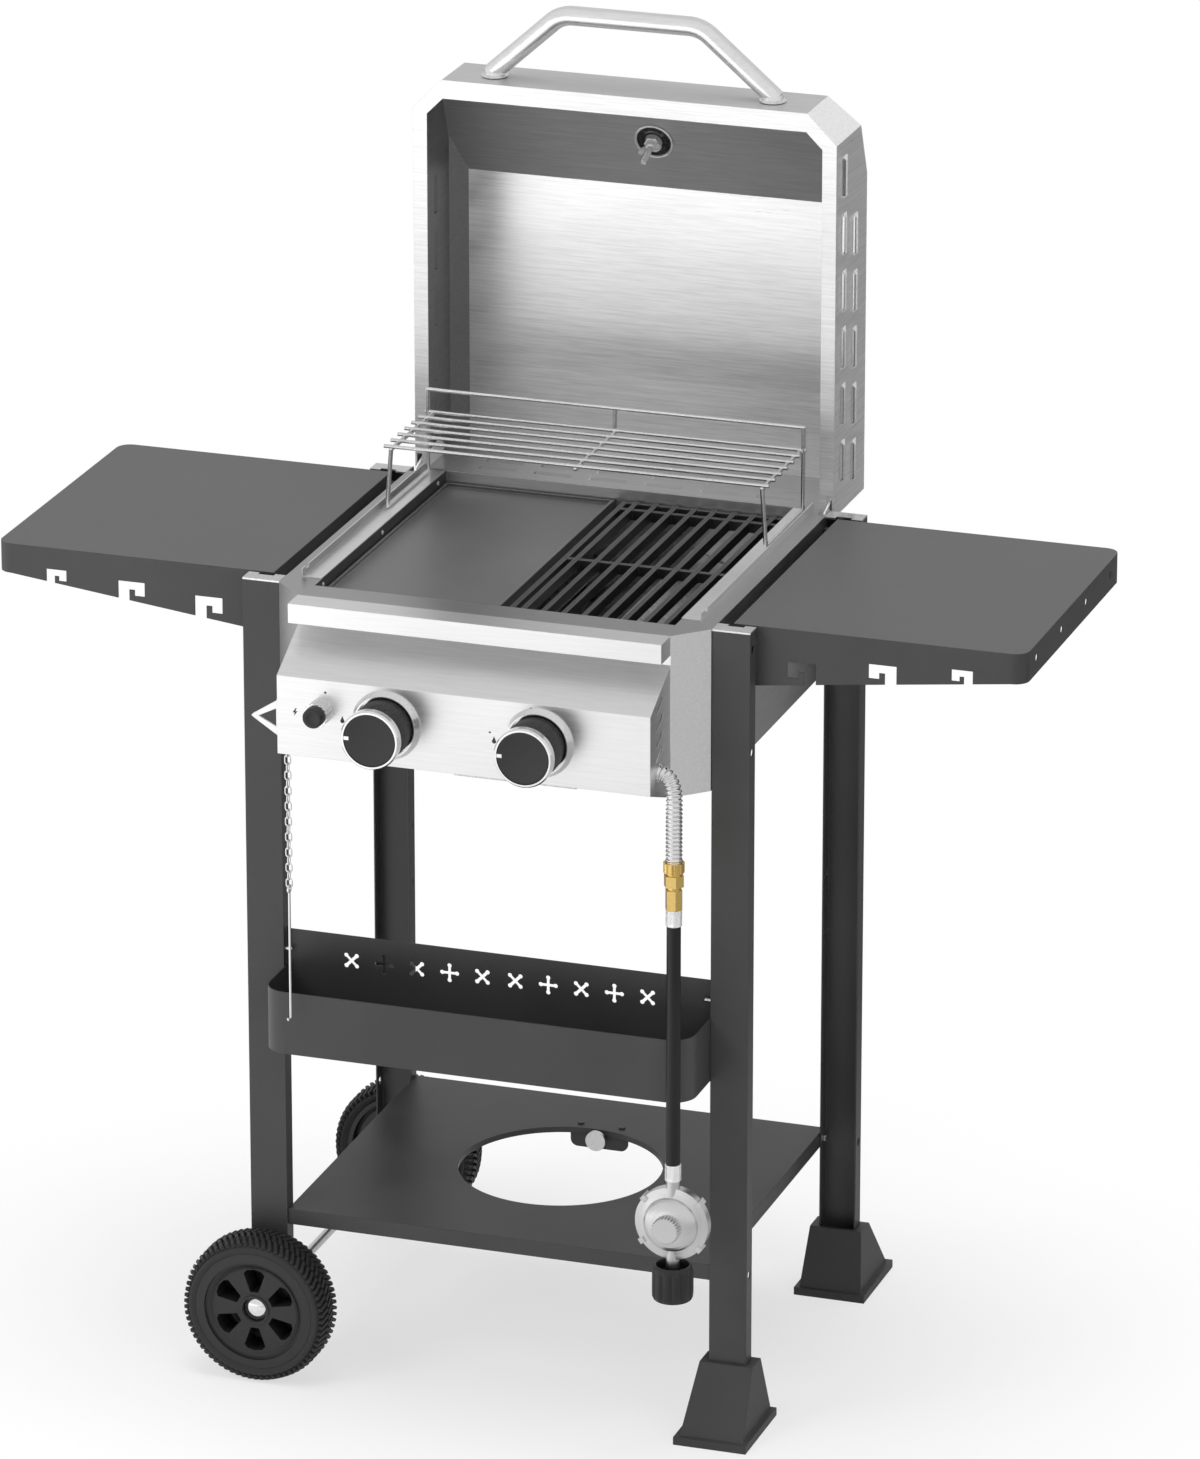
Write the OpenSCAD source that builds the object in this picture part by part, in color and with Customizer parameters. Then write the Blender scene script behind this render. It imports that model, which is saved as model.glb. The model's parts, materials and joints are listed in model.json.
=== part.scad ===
/* [Cart] */
// Width over the outer faces of the legs
cart_w = 541.4; // [520:1:580]
// Depth over the front and rear legs
cart_d = 395; // [380:1:420]
// Height of the leg tops
leg_top = 865; // [840:1:900]
// Face width of a leg channel
leg_w = 40; // [38:0.5:42]
// Depth of a leg channel
leg_d = 17.6; // [16:0.2:20]
// Steel thickness of a leg channel
leg_t = 1.6; // [1.2:0.1:2]
// Thickness of the leg cap plates
cap_t = 2; // [1.5:0.1:3]
// Height of a moulded foot
foot_h = 72; // [60:1:80]
// Width of a foot's base
foot_base_w = 78; // [74:1:84]
// Depth of a foot's base
foot_base_d = 105; // [95:1:112]
// Thickness of a foot's base flange
foot_flange_t = 8.5; // [6:0.5:10]

/* [Wheels] */
// Wheel radius over the tread
wheel_r = 80; // [74:1:86]
// Wheel width over the tyre
wheel_w = 46; // [42:1:50]
// Radius of the axle rod
axle_r = 5; // [4:0.5:6]
// Number of tread lugs round the tyre
lug_n = 36; // [30:1:40]
// Depth of the tread
lug_h = 4; // [3:0.5:5]
// Number of spokes in the wheel
spoke_n = 6; // [5:1:7]

/* [Bottom shelf] */
// Height of the bottom shelf's top face
low_shelf_z = 177.8; // [150:1:220]
// Depth of the bottom shelf's folded edge
low_shelf_edge = 17; // [14:1:22]
// Radius of the gas cylinder's opening
tank_hole_r = 107.75; // [100:0.5:115]
// Steel thickness of shelves and tray
sheet_t = 1.2; // [1:0.1:1.5]

/* [Storage tray] */
// Height of the tray's floor
tray_z = 382; // [360:1:400]
// Height of the tray's front wall
tray_front_h = 66.5; // [55:1:75]
// Height of the tray's back wall
tray_back_h = 105.4; // [95:1:115]
// Depth of the tray from back wall to front wall
tray_d = 79; // [70:1:90]
// Number of cut-outs in the tray's back wall
tray_cut_n = 10; // [8:1:10]
// Pitch of the cut-outs
tray_cut_pitch = 35.6; // [30:1:38]

/* [Side shelves] */
// Width over both side shelves
top_w = 1099; // [1040:1:1160]
// Gap between a side shelf and the legs in front of and behind it
shelf_gap = 5.9; // [4:0.1:8]
// Depth of a side shelf's skirt at its outer end
skirt_out = 31.7; // [28:1:36]
// Depth of a side shelf's skirt beside the leg
skirt_in = 63; // [58:1:70]
// Corner radius of a side shelf
shelf_corner_r = 15; // [10:1:20]

/* [Firebox] */
// Height of the firebox's top edge
body_top = 867; // [860:1:880]
// Height of the firebox
body_h = 171.5; // [165:1:180]
// Reach of the firebox in front of the front legs
front_reach = 33.5; // [28:0.5:38]
// Reach of the firebox behind the rear legs
back_reach = 2; // [1:0.5:4]
// Size of the firebox's front corner chamfer
chamfer = 32; // [28:1:36]
// Sheet thickness of the firebox and lid
body_t = 1.2; // [1:0.1:1.5]
// Width of the firebox's top flange beside the cooking opening
flange_w = 38.4; // [36:0.2:42]
// Distance of the griddle's top edge below the firebox top
cook_drop = 12; // [10:1:16]

/* [Control panel] */
// Set-back of the control panel's ends from the firebox's chamfers
panel_set = 0.4; // [0:0.1:2]
// Reach of the control panel in front of the firebox
panel_reach = 62.6; // [56:1:68]
// Height of the control panel's face
panel_face_h = 83.5; // [78:1:90]
// Height of the panel's lower edge below the firebox top
panel_low = 148.7; // [142:1:152]
// Share of the control panel's width between the two knobs
knob_share = 0.40909; // [0.38:0.001:0.42]
// Radius of a knob's grip
knob_r = 30; // [27:0.5:32]
// Reach of a knob in front of the panel
knob_reach = 50.4; // [46:1:56]
// Travel of a knob when pushed
knob_push = 4; // [3:0.5:5]

/* [Lid] */
// Height of the closed lid
lid_h = 124; // [116:1:132]
// Height of the closed lid's upright front
lid_front_h = 71; // [64:1:78]
// Depth of the closed lid's flat top
lid_top_d = 303; // [290:1:315]
// Gap between the firebox and the closed lid
lid_gap = 3.3; // [2.5:0.1:5]
// Bevel along the lid's top edges
lid_bevel = 17; // [12:1:20]
// Width of the handle between its feet
handle_w = 303; // [290:1:320]
// Reach of the handle in front of the lid
handle_reach = 74.5; // [66:1:82]
// Radius of the handle tube
handle_r = 10.2; // [9:0.2:11]
// Length of a louvre
louvre_l = 46; // [42:1:50]
// Width of a louvre
louvre_w = 15; // [12:1:17]

/* [Gas line] */
// Radius of the corrugated pipe over its ribs
pipe_r = 8.5; // [7.5:0.5:9]
// Radius of the rubber hose
hose_r = 7.25; // [6.5:0.25:8]
// Radius of the regulator's clamped rim
reg_r = 39; // [36:1:42]
// Radius of the cylinder nut
nut_r = 21.5; // [20:0.5:23]

/* [Hidden] */
$fn = 48;
charcoal = [0.17, 0.17, 0.18];
steel = [0.82, 0.82, 0.83];

// Clearance between pieces that are seated or stacked
seat = 0.3;
// Radial running clearance of a shaft in its bore
run_fit = 0.05;
// Overrun of a cutting shape past the face it cuts
over = 2;
// Overlap that makes two shapes of one piece a single solid
weld = 1;
// Small step between two faces of one piece
step_in = 1;

// Cart, derived places
leg_x = (cart_w - leg_w) / 2;
leg_in = cart_w / 2 - leg_w;
leg_edge_y = cart_d / 2 - leg_d;
left_leg_z = 60;
access_r = 4.5;
screw_r = 2.5;
hole_r = screw_r + seat;
head_r = 4.6;
head_h = 3;
screw_len = 9;
cap_notch = [17, 5];
cap_lap = 2;

// Bottom shelf screws, tray screws and firebox screws sit at these heights
low_screw_z = low_shelf_z - low_shelf_edge / 2;
tray_screw_rise = [21, 85];
tray_screw_z = [for (rise = tray_screw_rise) tray_z + rise];
body_screw_rise = 42;
body_screw_drop = 20;
body_screw_z = [body_top - body_h + body_screw_rise, body_top - body_screw_drop];
leg_screw_y = (cart_d - leg_d) / 2;
tray_screw_in = 5.5;
tray_screw_y = cart_d / 2 - tray_screw_in;
tray_head_r = 3.5;

// Feet
foot_top = [57, 28];
foot_low = [68, 93.5];
foot_floor = foot_flange_t;
foot_wall = 3;
foot_lean = 32.2;
foot_socket_z = 30;
foot_sole_out = 68.5;

// Wheels
wheel_gap = 6.5;
wheel_in_y = cart_d / 2 + wheel_gap;
tyre_t = 16;
rim_r = wheel_r - tyre_t;
rim_wall = 5;
rim_drop = 2;
wheel_disc_t = 12;
dish_edge = 2;
hub_r = 16;
hub_step = 1.5;
window_in_r = 17;
window_out_r = 44;
window_half = [4.5, 8, 11.5];
window_round = [3, 4, 1.5];
groove_r = [50, 54];
groove_d = 3;
wheel_recess = 6;
hub_cap_r = 12.5;
hub_cap_t = 5;
hub_pocket_d = 13;
tread_r = wheel_r - lug_h;
tyre_lip = 6;
tyre_side = 7;
tyre_shoulder = 12;
tyre_edge = [2, 5];
lug_edge = 10;
lug_mid = 1;
lug_l = wheel_w / 2 - lug_edge - lug_mid;
lug_shares = [0, 0.12, 0.5, 0.62];
axle_in = 12;
axle_out = wheel_in_y + wheel_w - axle_in;
axle_z = wheel_r;
spacer_r = 9;

// Bottom shelf
low_shelf_x = leg_in - seat;
low_shelf_set = 2;
low_shelf_y = cart_d / 2 - low_shelf_set;
tank_hole_y = 5;
hole_edge_h = 6;

// Cylinder lock
lock_x = 5;
lock_w = 64;
lock_h = 22;
lock_t = 2.4;
lock_tab_gap = 3.3;
lock_tab_y = tank_hole_y + tank_hole_r + lock_tab_gap;
lock_screw_r = 3;
lock_pad_r = 11;
lock_pad_t = 4;
lock_knob_r = 5.5;
lock_knob_t = 12;
lock_reach = 13.3;
lock_screw_gap = 0.8;
lock_z = low_shelf_z - hole_edge_h - lock_screw_r - lock_screw_gap;
lock_travel = 10;
lock_foot_l = 24;
lock_round = 8;
lock_rivet = [23, 8];
lock_rivet_r = 3.6;
lock_rivet_h = 1.5;

// Storage tray
tray_x = leg_in - seat;
tray_set = 10.5;
tray_back_y = -cart_d / 2 + tray_set;
tray_front_y = tray_back_y - tray_d;
tray_corner_r = 25;
tray_cut_rise = 78;
tray_cut_z = tray_z + tray_cut_rise;
tray_cut_arm = 3.2;
tray_cut_len = 16;
tray_cut_dot_r = 2.4;
tray_tab_w = 24;
tray_tab_h = 38;
tray_tab_z = tray_z + tray_back_h - tray_tab_h;
// Which of the cut-outs are turned by 45 degrees, from left to right
tray_turns = [1, 0, 1, 0, 1, 1, 0, 1, 0, 1];

// Side shelves
shelf_lap = 15;
shelf_in_x = leg_in + shelf_lap;
shelf_out_x = top_w / 2;
shelf_y = leg_edge_y - shelf_gap;
shelf_top = body_top;
taper_start = 19;
taper_in_x = leg_x + taper_start;
taper_end = 15;
taper_out_x = shelf_out_x - taper_end;
hook_shares = [0.2347, 0.5128, 0.7844];
hook_x = [for (share = hook_shares) shelf_in_x + share * (shelf_out_x - shelf_in_x)];
hook_w = [30, 29, 22];
hook_drop = [34, 27, 23];
hook_h = [17, 15, 12];
hook_pocket_share = 0.38;
hook_tongue_share = 0.2;
hook_tongue_h_share = 0.42;
end_hole_r = 4;
end_hole_drop = 14.7;
end_hole_z = shelf_top - end_hole_drop;
end_hole_share = 0.2586;
end_hole_pitch = end_hole_share * 2 * shelf_y;
end_hole_n = 4;
bracket_t = 2;
bracket_side_gap = 0.5;
bracket_w = leg_w - 2 * bracket_side_gap;
bracket_h = 44;
bolt_r = 3;
bolt_drop = 34;
bolt_z = shelf_top - bolt_drop;
bolt_out = 8;
bolt_x = leg_x + bolt_out;

// Firebox
body_x = leg_in - seat;
body_front = cart_d / 2 + front_reach;
body_back = cart_d / 2 + back_reach;
body_low = body_top - body_h;
flange_in_x = body_x - flange_w;
panel_w = 2 * (body_x - chamfer - panel_set);
knob_gap = knob_share * panel_w;
cook_set = [33, 2.5];
cook_y = [-body_front + cook_set[0], body_back - cook_set[1]];
skirt_h = 28;
ledge_w = 9;
ledge_z = body_top - skirt_h;
shield_drop = 84;
shield_z = body_top - shield_drop;
shield_ledge = 14;
shield_side = 12;
shield_w = knob_gap - 2 * shield_side;
shield_rise = 26;
shield_end_gap = 6;
burner_x = knob_gap / 2;
burner_r = 13;
burner_t = 1;
burner_drop = 105;
burner_z = body_top - burner_drop;
burner_back_gap = 22;
burner_back_y = body_back - burner_back_gap;
burner_front_out = 14;
burner_front_y = -body_front - burner_front_out;
burner_rest = 8;
port_n = 12;
port_pitch = 24;
port_start = 60;
port_r = 1.2;
drain = [110, 250];
drain_y = 10;
runner_x = 76;
runner_h = 24;
runner_lip = 9;
hinge_in = 1.8;
hinge_y = body_back - hinge_in;
hinge_drop = 7;
hinge_z = body_top - hinge_drop;
slot_w = 8.5;
slot_x = [body_x - body_t - slot_w, body_x - body_t];
slot_h = 24;
slot_l = 14;
slot_y = hinge_y - slot_l;

// Front lip and control panel
lip_d = 29;
lip_h = 20.7;
panel_y = -body_front - panel_reach;
panel_bottom = body_top - panel_low;
panel_face_top = panel_bottom + panel_face_h;
panel_top_drop = 31;
panel_back_top = body_top - panel_top_drop;
panel_back_low = body_low;
panel_t = 1.2;
panel_return = 15;
knob_rise = 43.7;
knob_z = panel_bottom + knob_rise;
vent_n = 4;
vent_pitch = 17.5;
vent_l = 24;
vent_w = 5;
vent_angle = 30;
vent_start = [29, 3];
vent_first = [panel_y + vent_start[0], panel_face_top + vent_start[1]];
stem_hole_r = 7;

// Knobs
knob_ring_r = knob_r + step_in;
knob_face_in = 2.4;
knob_face_r = knob_r - knob_face_in;
knob_ring_round = [1.5, 2];
ring_tongue = [0.5, 1];
knob_hollow_z = 12;
knob_wall = 3;
knob_boss = 4;
knob_ring_l = 9;
knob_back_gap = 6.4;
knob_face_dip = 0.8;
knob_web = 2;
bezel_reach = 6.5;
bezel_r = knob_r + bezel_reach;
bezel_gap = 1.2;
bezel_bore_r = knob_r + bezel_gap;
bezel_lap = 2;
bezel_h = 8;
bezel_t = 1.5;
flute_n = 40;
flute_r = 1.2;
pointer = [6, 4, 2];

// Valves, manifold and igniter
stem_r = 4;
stem_front = 22;
manifold_out = 33.7;
manifold_y = -body_front - manifold_out;
manifold_rise = 15.3;
manifold_z = panel_bottom + manifold_rise;
manifold_r = 7;
manifold_bore_r = 5.5;
manifold_end = 20;
manifold_end_x = panel_w / 2 - manifold_end;
manifold_tail = 22;
manifold_plug = 4;
valve_r = 10;
valve_neck = 3;
valve_neck_in = 4;
stem_back_gap = 1;
orifice_r = 4;
orifice_l = 22;
igniter_share = 0.38005;
igniter_x = -igniter_share * panel_w;
igniter_rise = 51.2;
igniter_z = panel_bottom + igniter_rise;
igniter_r = 13;
button_r = 10.6;
collar_l = 19;
button_l = 27.4;
sleeve_r = 12.2;
sleeve_l = 38;
igniter_push = 5;
igniter_seat_z = 6;
igniter_play = 0.5;
flutes = 16;
collar_cut_r = 1.4;
collar_cut_out = 0.6;
collar_base = 2;
electrode_r = 2;
electrode_x = 22;
electrode_l = 30;
electrode_tip_l = 44;

// Side rails, griddle, grate and rack
rail_x = flange_in_x;
rail_set = 17;
rail_web_x = leg_in - rail_set;
rail_h = 9;
rail_end = [53, 7.5];
rail_y = [-body_front + rail_end[0], body_back - rail_end[1]];
rail_notch = [10, 9, 3];
griddle_h = 16;
plate_end_gap = 3.5;
plate_l = cook_y[1] - cook_y[0] - 2 * plate_end_gap;
griddle_gap = 6;
griddle = [flange_in_x - griddle_gap, plate_l, griddle_h];
griddle_shift = 2;
griddle_x = -flange_in_x / 2 - griddle_shift;
pan_floor_t = 4;
pan_t = 3;
griddle_rim = 3;
grate_gap = 10;
grate_x = flange_in_x / 2;
grate = [flange_in_x - grate_gap, plate_l];
bar_w = 5.5;
bar_h = 11;
bar_n = 8;
bar_margin = 13;
bar_pitch = (grate[0] - bar_w - 2 * bar_margin) / (bar_n - 1);
rib_n = 3;
rib_share = 0.44;
wire_r = 2.3;
rack_bar_r = 2;
ball_share = 1.03;
guard_share = 0.96;
rack_set = 24.6;
rack_x = leg_in - rack_set;
rack_back_gap = 19.5;
rack_d = 125.3;
rack_y = [body_back - rack_back_gap - rack_d, body_back - rack_back_gap];
rack_rise = 69;
rack_z = body_top + rack_rise;
rack_guard_rise = 93.5;
rack_guard_z = body_top + rack_guard_rise;
rack_bar_n = 7;

// Lid, in the closed pose, then turned about its hinge
lid_x = body_x + seat;
lid_front_set = 0.2;
lid_front_y = -body_front + lid_front_set;
lid_back_over = 3.2;
lid_back_y = body_back + lid_back_over;
lid_low = body_top + lid_gap;
lid_high = lid_low + lid_h;
slope_y = lid_back_y - lid_top_d;
lid_open = 90;
rim_front = 20.1;
rim_side = 15.5;
louvre_rise = 4.5;
louvre_shares = [0.1333, 0.14174];
back_pitch = louvre_shares[0] * 2 * lid_x;
side_pitch = louvre_shares[1] * (lid_back_y - lid_front_y);
side_louvre_rise = [24, 62.5];
side_louvre_z = [for (rise = side_louvre_rise) lid_low + rise];
side_louvre_in = [54.5, 43.7];
side_louvre_y = [for (in = side_louvre_in) lid_back_y - in];
side_louvre_n = [6, 5];
back_louvre_rise = [40, 65];
back_louvre_z = [for (rise = back_louvre_rise) lid_low + rise];
back_louvre_n = 6;
handle_up = 32;
handle_z = lid_low + handle_up;
handle_bar_w = 152;
handle_bend_r = 34;
boss_r = 14;
boss_h = 6;
boss_disc = 2;
boss_neck = [5, 3];
sink_share = 0.3;
handle_drop = 8;
dial_r = 30;
dial_h = 9;
dial_hole_r = 7;
dial_share = 0.57;
dial_stem_r = 3;
dial_stem_l = 38;
dial_nut_r = 9;
dial_nut_h = 6;
dial_wall = 3;
dial_depth = 5;
lens_t = 1.5;
needle = [40, 3, 0.8];
needle_shares = [0.2, 0.7];
needle_lift = 0.4;
needle_hub_r = 3;
needle_pin = [1.2, 3];
slope_dy = slope_y - lid_front_y;
slope_dz = lid_h - lid_front_h;
slope_angle = atan2(slope_dz, slope_dy);
pin_r = 3;
ear_t = 2;
ear_in = 4.6;
ear_x = body_x - body_t - ear_in;
ear_r = 7.5;
ear_h = 70;
ear_heel = 4;
ear_in_y = [12, 22, 18];
ear_nose = 8;
ear_slot_l = 24;
stud = [20, 14, 11];
stud_r = 3;
stud_sink = 0.1;
bracket_in = 9;
bracket_x = body_x - body_t - bracket_in;
bracket_tab = [6, 8];
post_w = 20;
post_h = 33.5;
post_up = 5.5;

// Bottle opener and match chain
opener_reach = 29;
opener_h = 39;
opener_rise = 37;
opener_z = panel_bottom + opener_rise;
opener_in = 4;
opener_y = panel_y + opener_in;
opener_tip = 2;
opener_rim = 4.5;
opener_shares = [0.5, 2.2, 1.7];
opener_t = 2;
opener_flange = 12;
chain_in = 5.5;
chain_x = -panel_w / 2 + chain_in;
chain_back = 13.6;
chain_y = panel_y + chain_back;
chain_slot_in = 3.6;
link_r = 0.75;
link_w = 7.5;
link_l = 11.5;
link_gap = 0.2;
link_pitch = link_l - 4 * link_r - link_gap;
link_n = 17;
ring_z = panel_bottom + panel_t + link_gap + link_r;
ring_mid_z = ring_z - link_l / 2 + link_r;
rod_r = 1.3;
rod_l = 138;
rod_eye_r = 3.4;
rod_eye_z = ring_mid_z - link_n * link_pitch - link_l / 2 + 2 * link_r + rod_r + link_gap - rod_eye_r;

// Grease tray
grease = [132, 300, 22];
grease_set = 4;
grease_over = 8;
grease_rim = 8;
grease_t = 1;
grease_pull = 12;

// Gas line, hand-chosen points of the hanging pipe and hose
pipe_pts = [
    [178, -264.7, 733.6], [186, -264.7, 733.6], [195, -264.7, 733.6], [203, -265.2, 732.6],
    [209, -267, 729], [213.5, -270, 723], [216, -273, 716], [217.2, -275.6, 708],
    [217.5, -276.8, 699], [217.5, -277, 690], [217.5, -277, 672], [217.5, -277, 645.5]
];
hose_x = 217.5;
hose_y = -277;
pipe_low_z = 645.5;
coupling_low_z = 595.3;
ferrule_low_z = 577.6;
hose_low_z = 319.6;
neck_top_z = 302;
reg_z = 256;
nut_top_z = 210;
nut_h = 37.5;
nut_cup = 11;
nut_web = 5;
nut_thread_r = 16.7;
nut_thread_l = 13.5;
collar_r = 9;
collar_h = nut_h - nut_cup - nut_web - nut_thread_l - 2 * seat;
neck_low_z = nut_top_z - nut_cup - nut_web - seat;
hose_pts = [for (i = [0:6]) [hose_x, hose_y, ferrule_low_z + (hose_low_z - ferrule_low_z) * i / 6]];
hose_bore_r = 3;
ferrule_wall = 1.2;
coupling_r = [9, 6.5, 10.5, 7.5, 10.8];
coupling_shares = [0.42, 0.49, 0.73, 0.79];
coupling_lap_share = 0.03;
flange_scallop_n = 10;
flange_scallop_r = 1.5;
reg_back = [[0, -16], [10, -16], [24, -12]];
reg_rim = [8, 6, 5];
reg_dome = [7, 17, 11];
reg_cap = [13, 18, 27];
reg_clip = [6, 14];
reg_neck_r = 7;
nut_rib = 1.5;
nut_rib_z = 3;
nut_rib_end = 5;
nut_lip = 4.5;
pipe_rib = 1.3;
pipe_valley_r = pipe_r - pipe_rib;
pipe_wall = 2.4;
pipe_bore_r = pipe_r - pipe_wall;
pipe_sides = 8;
rib_pitch = 4.4;

// Small helpers
module mirror_x(left) { mirror([left ? 1 : 0, 0, 0]) children(); }
module mirror_y(rear) { mirror([0, rear ? 1 : 0, 0]) children(); }
module fore() { rotate([90, 0, 0]) children(); }
module aft() { rotate([-90, 0, 0]) children(); }
module right() { rotate([0, 90, 0]) children(); }
module side_on() { rotate([90, 0, 90]) children(); }
module up(z) { translate([0, 0, z]) children(); }
module each_side() { for (left = [true, false]) mirror_x(left) children(); }
module each_corner() { for (rear = [false, true]) mirror_y(rear) each_side() children(); }
module rod_x(r, l) { right() cylinder(r = r, h = l, center = true); }
module rod_y(r, l) { fore() cylinder(r = r, h = l, center = true); }
module tube(r, bore, h) {
    difference() {
        cylinder(r = r, h = h);
        up(-over) cylinder(r = bore, h = h + 2 * over);
    }
}
// A wire from one point to another, with ball ends that round its corners
module wire(a, b, r) {
    v = b - a;
    l = norm(v);
    translate(a) rotate([0, acos(v[2] / l), atan2(v[1], v[0])]) cylinder(r = r, h = l);
    for (end = [a, b]) translate(end) sphere(r = r * ball_share);
}

// Legs
module leg_channel(z0) {
    difference() {
        translate([-leg_w / 2, -cart_d / 2, z0]) cube([leg_w, leg_d, leg_top - z0]);
        translate([-leg_w / 2 + leg_t, -cart_d / 2 + leg_t, z0 - over])
            cube([leg_w - 2 * leg_t, leg_d, leg_top - z0 + 2 * over]);
        for (z = concat([low_screw_z], body_screw_z)) {
            translate([leg_w / 2, -leg_screw_y, z]) rod_x(access_r, 4 * leg_t);
            translate([-leg_w / 2, -leg_screw_y, z]) rod_x(hole_r, 4 * leg_t);
        }
        for (z = tray_screw_z) translate([-leg_w / 2, -tray_screw_y, z]) rod_x(hole_r, 4 * leg_t);
    }
}
module leg(left, rear) {
    z0 = left ? left_leg_z : foot_socket_z;
    color(charcoal) mirror_x(left) mirror_y(rear) difference() {
        translate([leg_x, 0, 0]) leg_channel(z0);
        if (left) translate([leg_x, -cart_d / 2, axle_z]) rod_y(axle_r + seat, 4 * leg_t);
    }
}
module leg_front_left() { leg(true, false); }
module leg_front_right() { leg(false, false); }
module leg_rear_left() { leg(true, true); }
module leg_rear_right() { leg(false, true); }

module leg_caps() {
    color([0.75, 0.75, 0.76]) each_corner() difference() {
        translate([leg_x - leg_w / 2, -cart_d / 2, leg_top]) cube([leg_w, leg_d + cap_lap, cap_t]);
        translate([leg_x - cap_notch[0] / 2, -leg_edge_y - cap_notch[1] + cap_lap, leg_top - over])
            cube([cap_notch[0], cap_notch[1] + over, cap_t + 2 * over]);
    }
}

// Feet: a hollow pyramid that leans outward, on a flat base flange
module foot_body(top, base, grow) {
    x0 = -base[0] / 2;
    intersection() {
        translate([0, cart_d, 0]) fore() linear_extrude(2 * cart_d) polygon([
            [x0 - grow, 0], [x0 + base[0] + grow, 0],
            [top[0] / 2 + grow, foot_h - foot_floor], [-top[0] / 2 - grow, foot_h - foot_floor]
        ]);
        side_on() linear_extrude(2 * base[0], center = true) polygon([
            [-base[1] + foot_lean - grow, 0], [foot_lean + grow, 0],
            [top[1] / 2 + grow, foot_h - foot_floor], [-top[1] / 2 - grow, foot_h - foot_floor]
        ]);
    }
}
module foot(rear) {
    mid_y = -(cart_d - leg_d) / 2;
    color([0.11, 0.11, 0.12]) mirror_y(rear) difference() {
        union() {
            translate([leg_x, mid_y, foot_floor]) foot_body(foot_top, foot_low, 0);
            translate([leg_x - foot_base_w / 2, mid_y - foot_sole_out, 0])
                cube([foot_base_w, foot_base_d, foot_flange_t]);
            translate([leg_x - leg_w / 2 - foot_wall, mid_y - leg_d / 2 - foot_wall, 0])
                cube([leg_w + 2 * foot_wall, leg_d + 2 * foot_wall, foot_h - foot_wall]);
        }
        difference() {
            translate([leg_x, mid_y, -over]) foot_body(foot_top, foot_low, -foot_wall);
            translate([leg_x - leg_w / 2 - foot_wall, mid_y - leg_d / 2 - foot_wall, -over])
                cube([leg_w + 2 * foot_wall, leg_d + 2 * foot_wall, foot_h + 2 * over]);
        }
        translate([leg_x - leg_w / 2 - seat, mid_y - leg_d / 2 - seat, foot_socket_z])
            cube([leg_w + 2 * seat, leg_d + 2 * seat, foot_h]);
    }
}
module foot_front() { foot(false); }
module foot_rear() { foot(true); }

// Wheels turn on one rod that runs through the two left legs
module wheel_axle() {
    color([0.7, 0.7, 0.72]) {
        translate([-leg_x, 0, axle_z]) rod_y(axle_r, 2 * axle_out);
        for (rear = [false, true]) mirror_y(rear)
            translate([-leg_x, -cart_d / 2 - seat, axle_z]) fore()
                cylinder(r = spacer_r, h = wheel_gap - 2 * seat);
    }
}
module wheel_shape() {
    disc_z = (wheel_w - wheel_disc_t) / 2;
    face_z = wheel_w - wheel_recess;
    groove_z = wheel_w - step_in;
    color([0.09, 0.09, 0.1]) difference() {
        rotate_extrude() polygon([
            [0, 0], [hub_r, 0], [hub_r, disc_z], [rim_r - rim_wall, disc_z], [rim_r - rim_wall, rim_wall],
            [rim_r, rim_wall], [rim_r, wheel_w - rim_drop], [groove_r[1], groove_z],
            [groove_r[1], groove_z - groove_d], [groove_r[0], groove_z - groove_d],
            [groove_r[0], wheel_w - rim_drop], [window_out_r + dish_edge, face_z], [hub_r, face_z],
            [hub_r, face_z + hub_step], [0, face_z + hub_step]
        ]);
        for (i = [0:spoke_n - 1]) rotate([0, 0, (i + 0.5) * 360 / spoke_n]) up(-over)
            linear_extrude(wheel_w + 2 * over) polygon([
                [window_in_r + window_round[0], -window_half[0]],
                [window_out_r - window_round[1], -window_half[2]], [window_out_r, -window_half[1]],
                [window_out_r + window_round[2], 0], [window_out_r, window_half[1]],
                [window_out_r - window_round[1], window_half[2]],
                [window_in_r + window_round[0], window_half[0]]
            ]);
        up(-over) cylinder(r = axle_r + run_fit, h = wheel_w + 2 * over);
        up(wheel_w - hub_pocket_d) cylinder(r = hub_cap_r + step_in, h = hub_pocket_d + over);
    }
}
module lug_ring(turn, z, h) {
    step = 360 / lug_n;
    up(z) rotate([0, 0, turn * step]) linear_extrude(h) polygon([
        for (i = [0:lug_n - 1]) for (k = [0:3])
            let (a = (i + lug_shares[k]) * step)
            let (r = wheel_r - (k == 0 || k == 3 ? lug_h : 0))
            [r * cos(a), r * sin(a)]
    ]);
}
module tyre_shape() {
    color([0.06, 0.06, 0.07]) difference() {
        union() {
            rotate_extrude() polygon([
                [0, tyre_lip], [rim_r, tyre_lip], [tread_r - tyre_side, 0], [tread_r - step_in, tyre_lip],
                [tread_r, tyre_shoulder], [tread_r, wheel_w - tyre_shoulder],
                [tread_r - tyre_edge[0], wheel_w - tyre_edge[1]], [tread_r - tyre_side, wheel_w],
                [rim_r, wheel_w], [0, wheel_w]
            ]);
            lug_ring(0, lug_edge, lug_l);
            lug_ring(0.5, wheel_w / 2 + lug_mid, lug_l);
            lug_ring(0, wheel_w / 2 - 2 * lug_mid, 4 * lug_mid);
        }
        up(-over) cylinder(r = rim_r, h = wheel_w + 2 * over);
    }
}
module at_wheel(rear) {
    mirror_y(rear) translate([-leg_x, -wheel_in_y, axle_z]) fore() children();
}
module wheel_front() { at_wheel(false) wheel_shape(); }
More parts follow.
